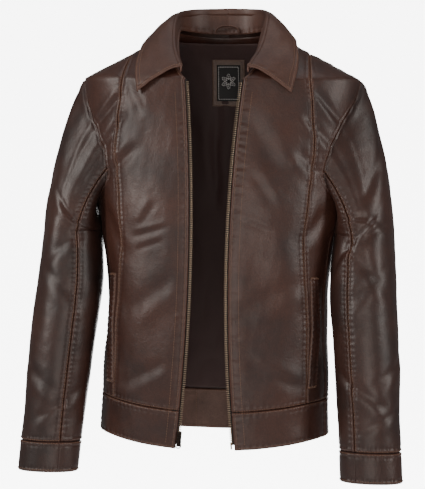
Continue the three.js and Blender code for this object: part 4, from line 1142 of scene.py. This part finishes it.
ALL_EDGES = ["start", "stop", "top", "bottom"]
for side, sign in SIDES:
    angle, level = between(pocket_line(POCKET_X), pocket_line(POCKET_X + WELT_WIDTH),
                           np.linspace(POCKET_BOTTOM_Z, POCKET_TOP_Z, 120), 22)
    points = relieved(angle, level, sign, depth=-WELT_STAND)
    points, wear = finish_edges(points, ALL_EDGES, roll=1.9)
    lay(f"{side}_pocket_welt_leather", points, WELT_LEATHER, BODY_LEATHER, "torso", [f"{side}_pocket_welt"],
        wear)
    spots = [(edge, 2.2) for edge in ALL_EDGES]
    spots += [(edge, distance, 1.5) for edge in ("top", "bottom") for distance in (4.2, 5.4)]
    seam(f"{side}_pocket_stitches", points, spots, "torso")

    angle, level = between(pocket_line(BAG_INNER_X, 0), pocket_line(BAG_OUTER_X, 0),
                           np.linspace(POCKET_BOTTOM_Z + 2, POCKET_TOP_Z - 3, 40), 14)
    points = inside_out(relieved(angle, level, sign, depth=BAG_DEPTH))
    lay(f"{side}_pocket_bag_cloth", points, THIN_CLOTH, POCKET_CLOTH, FOLD[side], [f"{side}_pocket_bag"])
print("pockets done")

# %% [markdown]
# ## The zip
# Number eight metal teeth, 3.5 mm apart, are clamped on a corded tape. The two rows are half a pitch out of
# step, as they have to be to mesh. Each tooth has a base and a narrower nose, like the real ones.

# %% Tape and teeth
TOOTH_PITCH = 3.5


def tooth(bm, place, along, panel, front):
    """One tooth: a base clamped on the tape's edge and a nose that reaches over the zip line."""
    start = len(bm.verts)
    for low, high, tall, thick in ((-0.2, 3.2, 2.8, 1.75), (-1.5, 0.2, 1.8, 1.3)):
        made = bmesh.ops.create_cube(bm, size=1)["verts"]
        edges = list({e for v in made for e in v.link_edges})
        bmesh.ops.bevel(bm, geom=edges, offset=0.16, affect="EDGES", segments=1, profile=0.5, material=-1)
        bm.verts.ensure_lookup_table()
        for vert in bm.verts[start:]:
            x = (low + high) / 2 + vert.co.x * (high - low)
            spot = place + panel * x + front * (vert.co.y * tall) + along * (vert.co.z * thick)
            vert.co = spot * MM
        start = len(bm.verts)


for side, sign in SIDES:
    flip = np.array([sign, 1, 1])
    bottom, top = float(zip_angle_at(np.array(-685.0))), float(zip_angle_at(np.array(-95.0)))
    count = int((top - bottom) * zip_radius / TOOTH_PITCH)
    bm = bmesh.new()
    for k in range(count):
        angle = np.array(bottom + (k + (0.5 if sign < 0 else 0.0)) * TOOTH_PITCH / zip_radius)
        place, along, panel, front = (np.asarray(v) * flip for v in zip_frame(angle))
        tooth(bm, place, along, panel, front)
    bmesh.ops.recalc_face_normals(bm, faces=bm.faces)
    teeth = object_from(f"{side}_brass_teeth", bm, BRASS)
    attach(teeth, f"{side}_front", [f"{side}_zip_teeth"])

    # The tape lies just behind the teeth's middle and runs in under the leather.
    angles = np.linspace(bottom - 0.002, top + 0.001, 240)
    place, along, panel, front = zip_frame(angles)
    reach = np.linspace(1.2, 17.5, 14)
    points = place[:, None] + panel[:, None] * reach[None, :, None]
    points = points + front[:, None] * (np.where(reach < 3, 0.75 * np.exp(-((reach - 2) / 0.9) ** 2), -0.1)
                                        - 0.9 * smooth((reach - 3.5) / 4))[None, :, None]
    points = points if sign > 0 else mirror(points)
    lay(f"{side}_zip_tape_ribbon", points, THIN_CLOTH, TAPE, f"{side}_front", [f"{side}_zip_tape"])

for name, metal in (("zip_slider", GUNMETAL), ("zip_pull", GUNMETAL), ("zip_ring", GUNMETAL),
                    ("left_zip_pin", BRASS), ("right_zip_box", GUNMETAL)):
    node = bpy.data.objects[name]
    node.data.materials.clear()
    node.data.materials.append(metal)
print("zip teeth on each side:", count)

# %% [markdown]
# ## The label and the hanger loop
# A leather patch is sewn to the lining below the neck seam, with a woven black tag on it. The tag carries a
# plain six-petalled rosette in grey thread. A folded strap of leather above it hangs the jacket up.

# %% Label, tag and loop
def label_points(half, top, height, depth, rows, columns):
    level = np.linspace(top - height, top, rows)[:, None] * np.ones((1, columns))
    x = np.linspace(half, -half, columns)[None, :]
    angle = np.arccos(np.sign(x) * (np.abs(x) / half_width(level)) ** (ROUNDNESS / 2))
    return inside_out(relieved(angle, level, 1, depth, 0.4))


LABEL_DEPTH = 9.6
TAG_WIDTH, TAG_HEIGHT = 42, 64
points = label_points(30, -36, 83, LABEL_DEPTH, 50, 36)
points, wear = finish_edges(points, ALL_EDGES, roll=0.7, gather=0.15)
lay("label_patch_leather", points, 1.2, LABEL_LEATHER, "torso", ["label_patch"], wear)
seam("label_patch_stitches", points, [(edge, 2.6) for edge in ALL_EDGES], "torso")

points = label_points(TAG_WIDTH / 2, -45.5, TAG_HEIGHT, LABEL_DEPTH + 1.0, 40, 26)
lay("label_tag_satin", points, THIN_CLOTH, TAG_CLOTH, "torso", ["label_tag"])

out = normals_of(points)
centre_row, centre_column = points.shape[0] / 2 - 0.5, points.shape[1] / 2 - 0.5
row_pitch, column_pitch = TAG_HEIGHT / (points.shape[0] - 1), TAG_WIDTH / (points.shape[1] - 1)


def on_tag(shape):
    """Puts a flat outline, in mm from the tag's middle, on the tag's surface."""
    line, normal = [], []
    for x, z in shape:
        i, j = centre_row + z / row_pitch, centre_column + x / column_pitch
        a, b = int(i), int(j)
        u, v = i - a, j - b
        mix = [(1 - u) * (1 - v), u * (1 - v), (1 - u) * v, u * v]
        spots = [(a, b), (a + 1, b), (a, b + 1), (a + 1, b + 1)]
        line.append(sum(m * points[s] for m, s in zip(mix, spots)))
        normal.append(sum(m * out[s] for m, s in zip(mix, spots)))
    return np.array(line), np.array(normal)


def spoke(radius, turn):
    """A place at a distance and a turn from the rosette's middle, which is 3 mm above the tag's."""
    return radius * math.sin(turn), radius * math.cos(turn) + 3


turns = np.linspace(0, 2 * math.pi, 140)
rosette = [spoke(10 + 3.2 * math.cos(6 * t), t) for t in turns]
inner = [spoke(5 + 1.4 * math.cos(6 * t + math.pi), t) for t in turns]
petals = [[spoke(3 + 7 * s, t) for s in np.linspace(0, 1, 16)] for t in np.arange(6) * math.pi / 3]
corners = [(-18, -28.5), (18, -28.5), (18, 28.5), (-18, 28.5), (-18, -28.5)]
frame_line = [tuple(np.array(a) * (1 - s) + np.array(b) * s) for a, b in zip(corners, corners[1:])
              for s in np.linspace(0, 0.98, 30)]
lines = [on_tag(shape) for shape in [rosette, inner, frame_line] + petals]
stitch_rows("label_tag_embroidery", lines, TAG_THREAD, "torso", lift=0.6, thick=0.75)

turns = np.linspace(0.0, math.pi, 60)
arch = np.stack([-20.5 * np.cos(turns), 69 + 0 * turns, 5 + 12.5 * np.sin(turns) ** 0.75], 1)
across = np.linspace(-2.5, 2.5, 9)
loop_points = np.array([[p + np.array([0, w, -0.5 * (w / 2.5) ** 4]) for p in arch] for w in across])
loop = make_sheet("hanger_loop_leather", loop_points, 1.8, FACING_LEATHER, offset=0.0)
attach(loop, "torso", ["hanger_loop"])
print("label and loop done")
